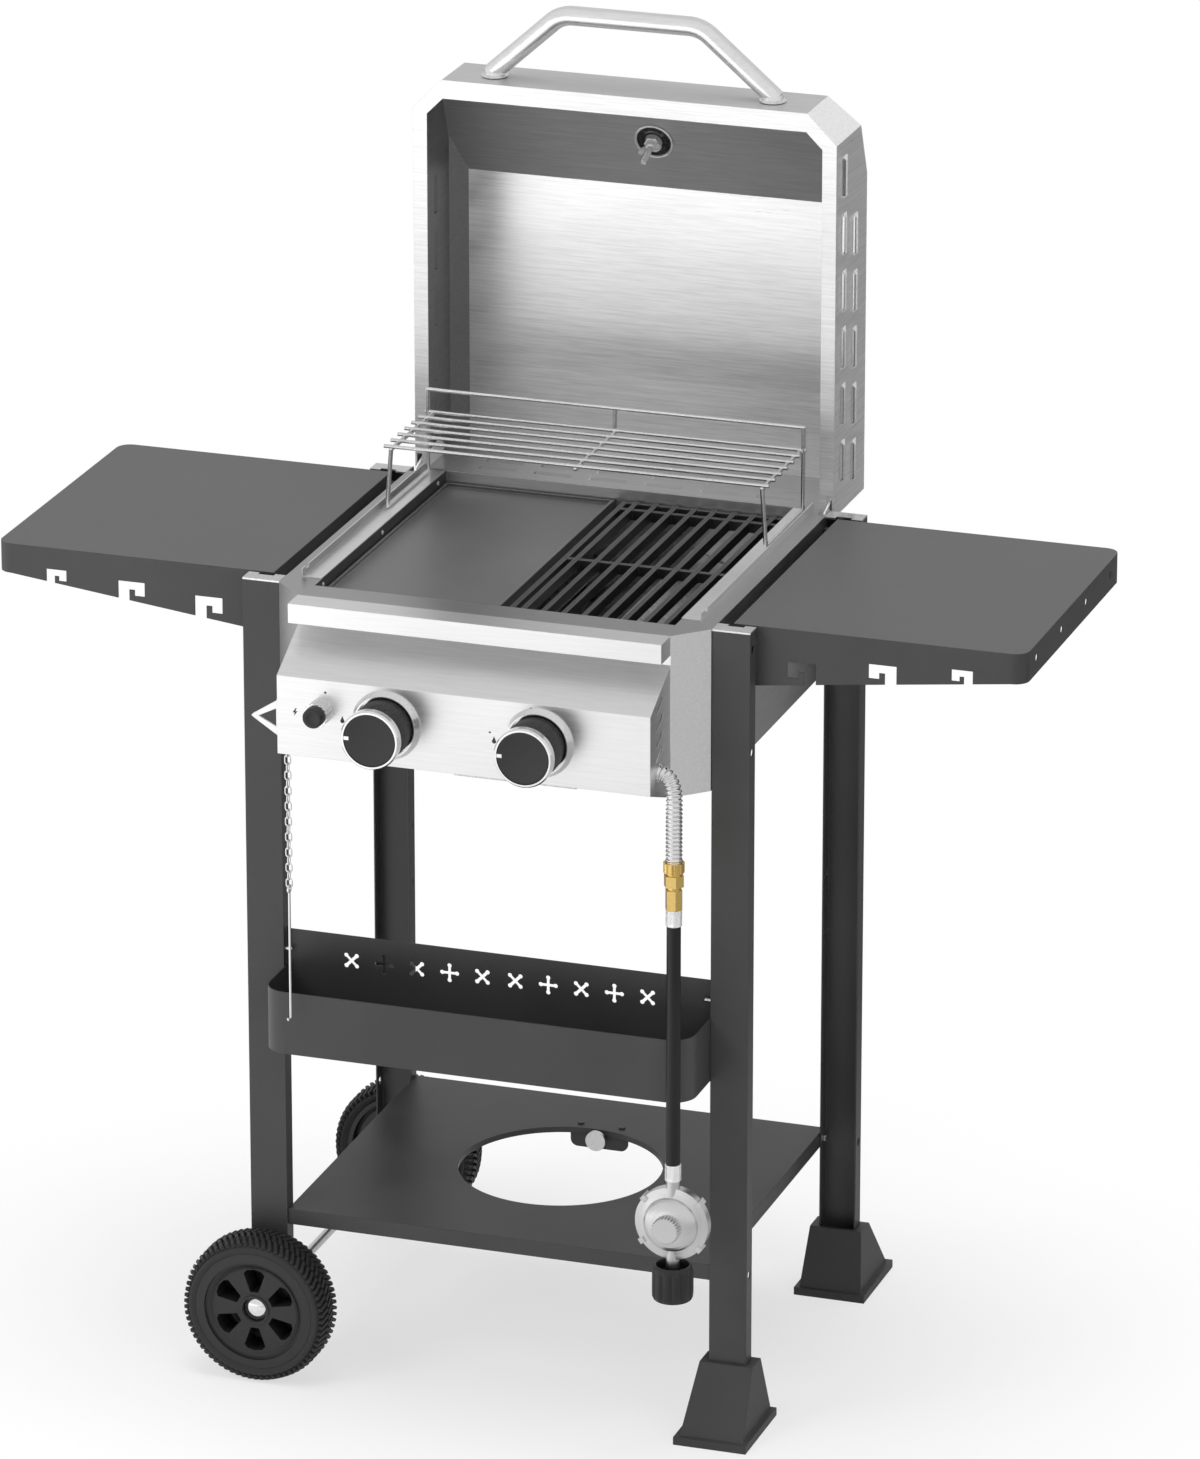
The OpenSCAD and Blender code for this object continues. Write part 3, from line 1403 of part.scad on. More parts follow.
// The handle's tube runs up from one foot, round a bend, along the bar and down again
handle_rise = handle_reach - boss_h;
handle_turn = atan2(handle_rise, (handle_w - handle_bar_w) / 2);
handle_bend_x = handle_bar_w / 2 - handle_bend_r * tan(handle_turn / 2);
handle_half = concat(
    [[handle_w / 2 + handle_r * sink_share, 0, -handle_r * sink_share],
        [(handle_w + handle_bar_w) / 4, 0, handle_rise / 2]],
    [for (i = [6:-1:0]) let (a = 90 - handle_turn * i / 6)
        [handle_bend_x + handle_bend_r * cos(a), 0, handle_rise - handle_bend_r + handle_bend_r * sin(a)]]
);
handle_pts = concat(handle_half, [for (i = [len(handle_half) - 1:-1:0])
    [-handle_half[i][0], 0, handle_half[i][2]]]);
module lid_handle() {
    tilt = atan2(handle_drop, handle_reach);
    color(steel) lid_pose() translate([0, lid_front_y - seat / 3, handle_z]) {
        for (s = [-1, 1]) translate([s * handle_w / 2, 0, 0]) fore() {
            cylinder(r1 = boss_r - boss_neck[0], r2 = boss_r - boss_neck[1],
                h = boss_h - boss_disc);
            up(boss_h - boss_disc) cylinder(r = boss_r, h = boss_disc);
        }
        intersection() {
            translate([0, -boss_h, 0]) rotate([90 + tilt, 0, 0])
                sweep(handle_pts, [for (p = handle_pts) handle_r], 20);
            translate([-handle_w, -2 * handle_reach - step_in, -handle_w])
                cube([2 * handle_w, 2 * handle_reach, 2 * handle_w]);
        }
    }
}
module thermometer_case() {
    color(steel) lid_pose() on_slope() {
        difference() {
            union() {
                up(seat / 3) cylinder(r = dial_r, h = dial_h);
                up(-body_t - dial_nut_h)
                    cylinder(r = dial_hole_r - seat, h = dial_nut_h + body_t + weld);
                up(-dial_stem_l) cylinder(r = dial_stem_r, h = dial_stem_l);
                up(-body_t - dial_nut_h - seat / 3)
                    cylinder(r = dial_nut_r, h = dial_nut_h, $fn = 6);
            }
            up(dial_h - dial_depth) cylinder(r = dial_r - dial_wall, h = dial_depth + over);
        }
        up(dial_h - dial_depth - weld) cylinder(r = needle_pin[0], h = needle_pin[1]);
    }
}
module thermometer_needle() {
    color("firebrick") lid_pose() on_slope() up(dial_h - dial_depth + needle_lift) difference() {
        union() {
            cylinder(r = needle_hub_r, h = needle[2]);
            rotate([0, 0, 150]) translate([-needle[0] * needle_shares[0], -needle[1] / 2, 0])
                cube([needle[0] * needle_shares[1], needle[1] / 2, needle[2]]);
        }
        up(-over) cylinder(r = needle_pin[0] + run_fit, h = 2 * over + needle[2]);
    }
}
module thermometer_lens() {
    color([0.8, 0.9, 0.95, 0.4]) lid_pose() on_slope()
        up(dial_h - lens_t) cylinder(r = dial_r - dial_wall - seat / 3, h = lens_t);
}

// Hinge: an ear on each inner side of the lid turns on a bracket's pin
module hinge_ears() {
    inner_y = lid_back_y - body_t - seat;
    stud_l = lid_x - body_t - ear_x - ear_t + stud_sink;
    color(steel) each_side() lid_pose() {
        translate([ear_x, 0, 0]) side_on() linear_extrude(ear_t) difference() {
            union() {
                translate([hinge_y, hinge_z]) circle(r = ear_r);
                polygon([
                    [hinge_y - ear_r, hinge_z], [hinge_y + ear_r - ear_heel, hinge_z],
                    [inner_y, lid_low + ear_heel], [inner_y, lid_low + ear_h],
                    [lid_back_y - ear_in_y[0], lid_low + ear_h + ear_heel],
                    [lid_back_y - ear_in_y[1], lid_low + ear_h - ear_nose],
                    [lid_back_y - ear_in_y[2], lid_low + ear_h / 2],
                    [lid_back_y - ear_in_y[1], lid_low + ear_h / 4]
                ]);
            }
            translate([hinge_y, hinge_z]) circle(r = pin_r + run_fit);
        }
        for (z = [lid_low + stud[0], lid_low + ear_h - stud[1]])
            translate([ear_x + ear_t - stud_sink, lid_back_y - stud[2], z]) right()
                cylinder(r = stud_r, h = stud_l);
    }
}
module hinge_brackets() {
    z0 = hinge_z - post_h + post_up;
    color([0.75, 0.75, 0.76]) each_side() {
        translate([bracket_x, hinge_y - post_w, z0])
            cube([ear_t, body_back - body_t - hinge_y + post_w, post_h]);
        translate([bracket_x - bracket_tab[0], body_back - body_t - ear_t, z0])
            cube([bracket_tab[1], ear_t, post_h]);
        translate([bracket_x + ear_t - weld, hinge_y, hinge_z]) right()
            cylinder(r = pin_r, h = body_x - body_t - bracket_x - ear_t + weld - seat);
    }
}

// Gas line: rings swept along a path of points
function unit(v) = v / norm(v);
function tangent(p, i) = unit(p[min(i + 1, len(p) - 1)] - p[max(i - 1, 0)]);
function ring_at(c, t, r, n) =
    let (u = unit([0, 1, 0] - t * (t * [0, 1, 0])), v = cross(t, u))
    [for (k = [0:n - 1]) c + r * (cos(360 * k / n) * u + sin(360 * k / n) * v)];
module sweep(p, radii, n) {
    m = len(p);
    pts = [for (i = [0:m - 1]) each ring_at(p[i], tangent(p, i), radii[i], n)];
    faces = concat(
        [[for (k = [0:n - 1]) k]],
        [for (i = [0:m - 2], k = [0:n - 1])
            let (a = i * n + k, b = i * n + (k + 1) % n) [a, a + n, b + n, b]],
        [[for (k = [n - 1:-1:0]) (m - 1) * n + k]]
    );
    polyhedron(points = pts, faces = faces);
}
function path_len(p, i) = i == 0 ? 0 : path_len(p, i - 1) + norm(p[i] - p[i - 1]);
function point_at(p, s, i = 1) =
    let (d = norm(p[i] - p[i - 1]))
    s <= d || i == len(p) - 1 ? p[i - 1] + (p[i] - p[i - 1]) * min(s / d, 1) : point_at(p, s - d, i + 1);
pipe_len = path_len(pipe_pts, len(pipe_pts) - 1);
rib_n_pipe = floor(pipe_len / rib_pitch);
pipe_rings = [for (i = [0:2 * rib_n_pipe]) point_at(pipe_pts, pipe_len * i / (2 * rib_n_pipe))];
pipe_radii = [for (i = [0:2 * rib_n_pipe]) i % 2 == 0 ? pipe_valley_r : pipe_r];
module corrugated_pipe() {
    color(steel) difference() {
        sweep(pipe_rings, pipe_radii, pipe_sides);
        sweep(concat([pipe_pts[0] - [over, 0, 0]], pipe_pts, [pipe_pts[len(pipe_pts) - 1] - [0, 0, over]]),
            [for (i = [0:len(pipe_pts) + 1]) pipe_bore_r], pipe_sides);
    }
}
module on_hose(z) { translate([hose_x, hose_y, z]) children(); }
module brass_coupling() {
    h = pipe_low_z - coupling_low_z;
    z = coupling_shares * h;
    lap = coupling_lap_share * h;
    color([0.85, 0.65, 0.25]) on_hose(coupling_low_z) difference() {
        union() {
            cylinder(r = coupling_r[0], h = z[0], $fn = 6);
            up(z[0]) cylinder(r = coupling_r[1], h = z[1] - z[0] + lap);
            up(z[1]) cylinder(r = coupling_r[2], h = z[2] - z[1], $fn = 6);
            up(z[2] - lap) cylinder(r = coupling_r[3], h = z[3] - z[2] + 2 * lap);
            up(z[3]) cylinder(r = coupling_r[4], h = h - z[3]);
        }
        for (i = [0:flange_scallop_n - 1]) rotate([0, 0, i * 360 / flange_scallop_n])
            translate([coupling_r[4], 0, z[3] - lap]) cylinder(r = flange_scallop_r, h = h, $fn = 12);
        up(-over) cylinder(r = hose_bore_r, h = h + 2 * over);
    }
}
module hose_ferrules() {
    color(steel) {
        on_hose(ferrule_low_z) tube(hose_r + ferrule_wall, hose_bore_r, coupling_low_z - ferrule_low_z);
        on_hose(neck_top_z) tube(hose_r + ferrule_wall, hose_bore_r, hose_low_z - neck_top_z);
    }
}
module rubber_hose() {
    color([0.07, 0.07, 0.07]) sweep(hose_pts, [for (i = [0:6]) hose_r], 12);
}
module regulator() {
    color([0.75, 0.75, 0.76]) on_hose(reg_z) {
        fore() rotate_extrude($fn = 96) polygon(concat(
            reg_back,
            [
                [reg_r - reg_rim[0], -reg_rim[1]], [reg_r, -reg_rim[2]], [reg_r, reg_rim[2]],
                [reg_r - reg_rim[1], reg_rim[1]]
            ],
            [for (a = [0:15:75]) [
                reg_dome[0] + (reg_r - reg_dome[1]) * cos(a), reg_dome[0] + reg_dome[2] * sin(a)
            ]],
            [[reg_cap[0], reg_cap[1]], [reg_cap[0], reg_cap[2]], [0, reg_cap[2]]]
        ));
        for (a = [40, 140, 215, 320]) fore() rotate([0, 0, a])
            translate([reg_r - step_in, 0, 0]) cube([reg_clip[0], reg_clip[0], reg_clip[1]], center = true);
        cylinder(r = reg_neck_r, h = neck_top_z - reg_z);
        up(neck_low_z - reg_z - weld) cylinder(r = reg_neck_r, h = reg_z - neck_low_z + weld);
        up(neck_low_z - collar_h - reg_z) cylinder(r = collar_r, h = collar_h);
    }
}
module tank_nut() {
    color([0.08, 0.08, 0.09]) on_hose(nut_top_z - nut_h) difference() {
        union() {
            cylinder(r = nut_r - nut_rib, h = nut_h);
            up(nut_rib_z) linear_extrude(nut_h - nut_rib_z - nut_rib_end) polygon([
                for (i = [0:17]) let (a = i * 20 + (i % 2) * 5) [nut_r * cos(a), nut_r * sin(a)]
            ]);
        }
        up(nut_h - nut_cup) cylinder(r = nut_r - nut_lip, h = nut_cup + over);
        cylinder(r = reg_neck_r + run_fit, h = nut_h);
        up(nut_thread_l - over)
            cylinder(r = collar_r + seat, h = nut_h - nut_cup - nut_web - nut_thread_l + over);
        up(-over) cylinder(r = nut_thread_r, h = nut_thread_l + over);
    }
}

leg_front_left();
leg_front_right();
leg_rear_left();
leg_rear_right();
leg_caps();
foot_front();
foot_rear();
wheel_axle();
wheel_front();
wheel_rear();
tyre_front();
tyre_rear();
hub_caps();
bottom_shelf();
tank_lock_bracket();
tank_lock_screw();
storage_tray();
side_shelf_left();
side_shelf_right();
shelf_brackets();
cart_screws();
firebox_shell();
front_lip();
control_panel();
side_rails();
griddle_plate();
cooking_grate();
warming_rack();
burners();
heat_shields();
gas_manifold();
gas_valves();
valve_stem_left();
valve_stem_right();
knob_left();
knob_right();
knob_ring_left();
knob_ring_right();
knob_bezels();
igniter_housing();
igniter_button();
igniter_electrodes();
grease_tray();
bottle_opener();
chain_ring();
match_chain();
lighting_rod();
lid_shell();
lid_handle();
thermometer_case();
thermometer_needle();
thermometer_lens();
hinge_ears();
hinge_brackets();
corrugated_pipe();
brass_coupling();
rubber_hose();
hose_ferrules();
regulator();
tank_nut();
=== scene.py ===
import json
import math
import bmesh
import bpy
from mathutils import Matrix, Vector


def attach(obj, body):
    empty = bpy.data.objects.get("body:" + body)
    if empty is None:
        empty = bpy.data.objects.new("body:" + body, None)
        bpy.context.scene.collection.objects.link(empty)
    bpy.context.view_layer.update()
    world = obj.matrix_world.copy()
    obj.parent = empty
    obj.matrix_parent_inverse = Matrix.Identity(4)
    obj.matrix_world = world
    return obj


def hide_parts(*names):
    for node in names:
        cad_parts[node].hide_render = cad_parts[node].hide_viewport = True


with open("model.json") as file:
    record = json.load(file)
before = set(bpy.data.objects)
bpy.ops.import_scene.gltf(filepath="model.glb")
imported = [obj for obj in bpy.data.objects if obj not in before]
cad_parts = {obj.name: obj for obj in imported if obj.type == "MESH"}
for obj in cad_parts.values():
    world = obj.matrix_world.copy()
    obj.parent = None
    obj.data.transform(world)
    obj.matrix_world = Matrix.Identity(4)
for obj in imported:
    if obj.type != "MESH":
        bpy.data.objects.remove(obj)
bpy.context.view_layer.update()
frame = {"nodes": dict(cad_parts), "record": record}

cadNodes = frame["nodes"]
print("Frame loaded with", len(cadNodes), "nodes")


# camera
shot = {"place": (2.8385, -8.2197, 3.788), "lookAt": (0.0407, 0.01383, 0.66684), "lens": 220.81,
        "sensor": 36.0, "nearest": 0.1, "farthest": 200.0}


def makeCamera():
    data = bpy.data.cameras.new("studioCamera")
    data.lens = shot["lens"]
    data.sensor_width = shot["sensor"]
    data.clip_start = shot["nearest"]
    data.clip_end = shot["farthest"]
    camera = bpy.data.objects.new("studioCamera", data)
    camera.location = shot["place"]
    aim = Vector(shot["lookAt"]) - camera.location
    camera.rotation_euler = aim.to_track_quat("-Z", "Y").to_euler()
    bpy.context.scene.collection.objects.link(camera)
    bpy.context.scene.camera = camera


makeCamera()
print("Camera placed")


# small makers
sameSpot = 1e-6  # points this close are one


def addNode(tree, kind, **settings):
    node = tree.nodes.new(kind)
    for key, value in settings.items():
        setattr(node, key, value)
    return node


def feed(tree, socket, source):
    # a socket takes a plain value or another node's output
    if isinstance(source, bpy.types.NodeSocket):
        tree.links.new(source, socket)
    else:
        socket.default_value = source


def mathNode(tree, operation, *sources, clamp=False):
    node = addNode(tree, "ShaderNodeMath", operation=operation, use_clamp=clamp)
    for socket, source in zip(node.inputs, sources):
        feed(tree, socket, source)
    return node.outputs[0]


def product(tree, *factors):
    level = factors[0]
    for factor in factors[1:]:
        level = mathNode(tree, "MULTIPLY", level, factor)
    return level


def mixColour(tree, share, first, second):
    node = addNode(tree, "ShaderNodeMix", data_type="RGBA")
    feed(tree, node.inputs[0], share)
    feed(tree, node.inputs[6], first)
    feed(tree, node.inputs[7], second)
    return node.outputs[2]


def mixValue(tree, share, first, second):
    node = addNode(tree, "ShaderNodeMix", data_type="FLOAT")
    feed(tree, node.inputs[0], share)
    feed(tree, node.inputs[2], first)
    feed(tree, node.inputs[3], second)
    return node.outputs[0]


def rangeNode(tree, value, low, high, outLow, outHigh, smooth=False):
    node = addNode(tree, "ShaderNodeMapRange")
    node.interpolation_type = "SMOOTHSTEP" if smooth else "LINEAR"
    for index, source in enumerate((value, low, high, outLow, outHigh)):
        feed(tree, node.inputs[index], source)
    return node.outputs[0]


def maskShare(tree, mask, full):
    # 1 where the mask is empty, and full where it is whole
    return rangeNode(tree, mask, 0.0, 1.0, 1.0, full)


def meshObject(name, bm):
    mesh = bpy.data.meshes.new(name)
    bmesh.ops.remove_doubles(bm, verts=bm.verts, dist=sameSpot)
    bmesh.ops.recalc_face_normals(bm, faces=bm.faces)
    bm.to_mesh(mesh)
    bm.free()
    piece = bpy.data.objects.new(name, mesh)
    bpy.context.scene.collection.objects.link(piece)
    return piece


def shadeSmooth(piece, angle=35):
    piece.data.shade_smooth()
    piece.data.set_sharp_from_angle(angle=math.radians(angle))
    return piece


def finishPiece(piece, body, material, replaced=()):
    piece.data.materials.clear()
    piece.data.materials.append(material)
    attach(piece, body)
    if replaced:
        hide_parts(*replaced)
    return piece


def inset(table, radius, height, way=1):
    # profile points, each an inset from the radius and a step up or down from the height
    return [(radius - inward, height + way * step) for inward, step in table]


def wave(count, angle):
    # 0 on each of count crests round a turn, and 1 between them
    return 0.5 - 0.5 * math.cos(count * angle)


def standing(x, y, z, side=1):
    # a place whose height runs to the back, or to the front where side is -1
    return Matrix.Translation((x, y, z)) @ Matrix.Rotation(-side * math.pi / 2, 4, "X")


def addLathe(bm, profile, segments, place, ripple=None):
    # profile is (radius, height) from end to end, and ripple changes a radius by angle and step
    rings = []
    for step, (radius, height) in enumerate(profile):
        if radius < sameSpot:
            rings.append([bm.verts.new(place @ Vector((0, 0, height)))])
            continue
        ring = []
        for k in range(segments):
            angle = 2 * math.pi * k / segments
            r = radius + (ripple(angle, step) if ripple else 0.0)
            ring.append(bm.verts.new(place @ Vector((r * math.cos(angle), r * math.sin(angle), height))))
        rings.append(ring)
    for low, high in zip(rings, rings[1:]):
        for k in range(segments):
            n = (k + 1) % segments
            if len(low) == 1 and len(high) == 1:
                continue
            if len(low) == 1:
                bm.faces.new((low[0], high[n], high[k]))
            elif len(high) == 1:
                bm.faces.new((low[k], low[n], high[0]))
            else:
                bm.faces.new((low[k], low[n], high[n], high[k]))


def addPrism(bm, outline, depth, place):
    # outline in x and y, pushed out along z by depth
    low = [bm.verts.new(place @ Vector((x, y, 0.0))) for x, y in outline]
    high = [bm.verts.new(place @ Vector((x, y, depth))) for x, y in outline]
    bm.faces.new(list(reversed(low)))
    bm.faces.new(high)
    for k in range(len(outline)):
        n = (k + 1) % len(outline)
        bm.faces.new((low[k], low[n], high[n], high[k]))


def smoothPath(points, perSpan):
    # a smooth line through the points
    padded = [points[0]] + list(points) + [points[-1]]
    line = []
    for i in range(len(points) - 1):
        a, b, c, d = [Vector(p) for p in padded[i:i + 4]]
        for k in range(perSpan):
            t = k / perSpan
            line.append(0.5 * ((2 * b) + (c - a) * t + (2 * a - 5 * b + 4 * c - d) * t * t
                               + (3 * b - a - 3 * c + d) * t ** 3))
    line.append(Vector(points[-1]))
    return line


def lineMesh(name, points):
    mesh = bpy.data.meshes.new(name)
    mesh.from_pydata([tuple(p) for p in points], [(i, i + 1) for i in range(len(points) - 1)], [])
    return mesh


def pointMesh(name, places, turns):
    mesh = bpy.data.meshes.new(name)
    mesh.from_pydata([tuple(p) for p in places], [], [])
    layer = mesh.attributes.new("turn", "FLOAT_VECTOR", "POINT")
    layer.data.foreach_set("vector", [value for turn in turns for value in turn])
    return mesh


# geometry node trees
def newGeometryTree(name, inputs):
    tree = bpy.data.node_groups.new(name, "GeometryNodeTree")
    tree.interface.new_socket(name="Geometry", in_out="INPUT", socket_type="NodeSocketGeometry")
    tree.interface.new_socket(name="Geometry", in_out="OUTPUT", socket_type="NodeSocketGeometry")
    for label, kind, value in inputs:
        socket = tree.interface.new_socket(name=label, in_out="INPUT", socket_type=kind)
        if value is not None:
            socket.default_value = value
    return tree, tree.nodes.new("NodeGroupInput"), tree.nodes.new("NodeGroupOutput")


def endTree(tree, given, result, shape):
    real = addNode(tree, "GeometryNodeRealizeInstances")
    paint = addNode(tree, "GeometryNodeSetMaterial")
    feed(tree, real.inputs[0], shape)
    feed(tree, paint.inputs["Geometry"], real.outputs[0])
    feed(tree, paint.inputs["Material"], given.outputs["Material"])
    feed(tree, result.inputs[0], paint.outputs[0])
    return tree


def makeRibTree():
    # a tube along the line, its radius swelling once for each rib
    tree, given, result = newGeometryTree("ribbedTube", [
        ("Valley Radius", "NodeSocketFloat", 0.007), ("Crest Radius", "NodeSocketFloat", 0.008),
        ("Rib Pitch", "NodeSocketFloat", 0.004), ("Step", "NodeSocketFloat", 0.0006),
        ("Sides", "NodeSocketInt", 32), ("Material", "NodeSocketMaterial", None)])
    curve = addNode(tree, "GeometryNodeMeshToCurve")
    resample = addNode(tree, "GeometryNodeResampleCurve", mode="LENGTH")
    along = addNode(tree, "GeometryNodeSplineParameter")
    ribs = mathNode(tree, "DIVIDE", along.outputs["Length"], given.outputs["Rib Pitch"])
    swing = mathNode(tree, "COSINE", mathNode(tree, "MULTIPLY", ribs, 2 * math.pi))
    swell = rangeNode(tree, swing, -1.0, 1.0, given.outputs["Crest Radius"], given.outputs["Valley Radius"],
                      smooth=True)
    circle = addNode(tree, "GeometryNodeCurvePrimitiveCircle")
    circle.inputs["Radius"].default_value = 1.0
    skin = addNode(tree, "GeometryNodeCurveToMesh")
    smooth = addNode(tree, "GeometryNodeSetShadeSmooth")
    feed(tree, curve.inputs["Mesh"], given.outputs["Geometry"])
    feed(tree, resample.inputs["Curve"], curve.outputs[0])
    feed(tree, resample.inputs["Length"], given.outputs["Step"])
    feed(tree, circle.inputs["Resolution"], given.outputs["Sides"])
    feed(tree, skin.inputs["Curve"], resample.outputs[0])
    feed(tree, skin.inputs["Profile Curve"], circle.outputs[0])
    feed(tree, skin.inputs["Scale"], swell)
    skin.inputs["Fill Caps"].default_value = True
    feed(tree, smooth.inputs["Geometry"], skin.outputs[0])
    return endTree(tree, given, result, smooth.outputs[0])


def makeScatterTree():
    # one piece on each point, turned by the point's own angles
    tree, given, result = newGeometryTree("piecesOnPoints", [
        ("Piece", "NodeSocketObject", None), ("Size", "NodeSocketFloat", 1.0),
        ("Material", "NodeSocketMaterial", None)])
    turn = addNode(tree, "GeometryNodeInputNamedAttribute", data_type="FLOAT_VECTOR")
    turn.inputs["Name"].default_value = "turn"
    angles = addNode(tree, "FunctionNodeEulerToRotation")
    info = addNode(tree, "GeometryNodeObjectInfo")
    place = addNode(tree, "GeometryNodeInstanceOnPoints")
    feed(tree, angles.inputs[0], turn.outputs[0])
    feed(tree, info.inputs["Object"], given.outputs["Piece"])
    feed(tree, place.inputs["Points"], given.outputs["Geometry"])
    feed(tree, place.inputs["Instance"], info.outputs["Geometry"])
    feed(tree, place.inputs["Rotation"], angles.outputs[0])
    feed(tree, place.inputs["Scale"], given.outputs["Size"])
    return endTree(tree, given, result, place.outputs[0])


def bakeTree(tree, name, base, values):
    holder = bpy.data.objects.new(name + "Source", base)
    bpy.context.scene.collection.objects.link(holder)
    modifier = holder.modifiers.new("shape", "NODES")
    modifier.node_group = tree
    for item in tree.interface.items_tree:
        if item.item_type == "SOCKET" and item.in_out == "INPUT" and item.name in values:
            modifier[item.identifier] = values[item.name]
    graph = bpy.context.evaluated_depsgraph_get()
    mesh = bpy.data.meshes.new_from_object(holder.evaluated_get(graph), depsgraph=graph)
    mesh.name = name
    bpy.data.objects.remove(holder)
    piece = bpy.data.objects.new(name, mesh)
    bpy.context.scene.collection.objects.link(piece)
    return piece


ribTree = makeRibTree()
scatterTree = makeScatterTree()


# shared surface effects
def newShaderGroup(name, inputs, outputs):
    group = bpy.data.node_groups.new(name, "ShaderNodeTree")
    for label, kind, value in inputs:
        socket = group.interface.new_socket(name=label, in_out="INPUT", socket_type=kind)
        if value is not None:
            socket.default_value = value
    for label, kind in outputs:
        group.interface.new_socket(name=label, in_out="OUTPUT", socket_type=kind)
    return group, group.nodes.new("NodeGroupInput"), group.nodes.new("NodeGroupOutput")


def stretchedNoise(tree, source, scale, detail):
    move = addNode(tree, "ShaderNodeMapping")
    feed(tree, move.inputs["Vector"], source)
    move.inputs["Scale"].default_value = scale
    noise = addNode(tree, "ShaderNodeTexNoise")
    feed(tree, noise.inputs["Vector"], move.outputs[0])
    noise.inputs["Scale"].default_value = 1.0
    noise.inputs["Detail"].default_value = detail
    noise.inputs["Roughness"].default_value = 0.6
    return noise.outputs[0]


def makeEdgeGroup():
    # a rounded normal near edges, and a mask of those edges
    group, given, result = newShaderGroup("softEdges", [("Radius", "NodeSocketFloat", 0.001)],
                                          [("Normal", "NodeSocketVector"), ("Edge", "NodeSocketFloat")])
    bevel = addNode(group, "ShaderNodeBevel", samples=4)
    feed(group, bevel.inputs["Radius"], given.outputs["Radius"])
    surface = addNode(group, "ShaderNodeNewGeometry")
    likeness = addNode(group, "ShaderNodeVectorMath", operation="DOT_PRODUCT")
    feed(group, likeness.inputs[0], bevel.outputs[0])
    feed(group, likeness.inputs[1], surface.outputs["Normal"])
    edge = rangeNode(group, likeness.outputs["Value"], 1.0, 0.86, 0.0, 1.0)
    feed(group, result.inputs["Normal"], bevel.outputs[0])
    feed(group, result.inputs["Edge"], edge)
    return group


sidewaysFrom = 0.75  # a face whose normal leans this far along x is brushed along y


def makeBrushGroup():
    # long fine lines from the brushing belt, along x, or along y on faces that look sideways
    group, given, result = newShaderGroup("brushedLines", [
        ("Line Length", "NodeSocketFloat", 9.0), ("Line Count", "NodeSocketFloat", 520.0)],
        [("Height", "NodeSocketFloat"), ("Streaks", "NodeSocketFloat"), ("Clouds", "NodeSocketFloat")])
    place = addNode(group, "ShaderNodeTexCoord")
    split = addNode(group, "ShaderNodeSeparateXYZ")
    feed(group, split.inputs[0], place.outputs["Normal"])
    sideways = mathNode(group, "GREATER_THAN", mathNode(group, "ABSOLUTE", split.outputs[0]), sidewaysFrom)
    parts = addNode(group, "ShaderNodeSeparateXYZ")
    feed(group, parts.inputs[0], place.outputs["Object"])
    lengthX = mixValue(group, sideways, given.outputs["Line Length"], given.outputs["Line Count"])
    lengthY = mixValue(group, sideways, given.outputs["Line Count"], given.outputs["Line Length"])
    stretched = addNode(group, "ShaderNodeCombineXYZ")
    for axis, stretch in enumerate((lengthX, lengthY, given.outputs["Line Count"])):
        feed(group, stretched.inputs[axis], product(group, parts.outputs[axis], stretch))
    fine = stretchedNoise(group, stretched.outputs[0], (1.0, 1.0, 1.0), 2.0)
    wide = stretchedNoise(group, stretched.outputs[0], (0.6, 0.45, 0.45), 1.0)
    clouds = stretchedNoise(group, place.outputs["Object"], (3.0, 5.0, 5.0), 2.0)
    height = mathNode(group, "ADD", product(group, fine, 0.7), product(group, wide, 0.3))
    feed(group, result.inputs["Height"], height)
    feed(group, result.inputs["Streaks"], rangeNode(group, height, 0.35, 0.65, 0.0, 1.0))
    feed(group, result.inputs["Clouds"], rangeNode(group, clouds, 0.3, 0.7, 0.0, 1.0, smooth=True))
    return group


def makeGrainGroup():
    # the fine orange peel of a powder coat or a moulded skin, with slow changes of tone
    group, given, result = newShaderGroup("coatGrain", [("Grain", "NodeSocketFloat", 900.0)],
                                          [("Height", "NodeSocketFloat"), ("Tone", "NodeSocketFloat"),
                                           ("Specks", "NodeSocketFloat")])
    place = addNode(group, "ShaderNodeTexCoord")
    grain = addNode(group, "ShaderNodeTexNoise")
    feed(group, grain.inputs["Vector"], place.outputs["Object"])
    feed(group, grain.inputs["Scale"], given.outputs["Grain"])
    grain.inputs["Detail"].default_value = 2.0
    specks = addNode(group, "ShaderNodeTexVoronoi")
    feed(group, specks.inputs["Vector"], place.outputs["Object"])
    feed(group, specks.inputs["Scale"], given.outputs["Grain"])
    tone = stretchedNoise(group, place.outputs["Object"], (7.0, 7.0, 5.0), 3.0)
    feed(group, result.inputs["Height"], grain.outputs[0])
    feed(group, result.inputs["Tone"], rangeNode(group, tone, 0.3, 0.7, 0.0, 1.0, smooth=True))
    nearness = rangeNode(group, specks.outputs["Distance"], 0.1, 0.55, 1.0, 0.0)
    feed(group, result.inputs["Specks"], nearness)
    return group


faceMasks = ("Up", "Down", "Inward", "Front", "Rear", "Left Corner")
frontEnd = 0.25  # faces behind this y don't count as the front


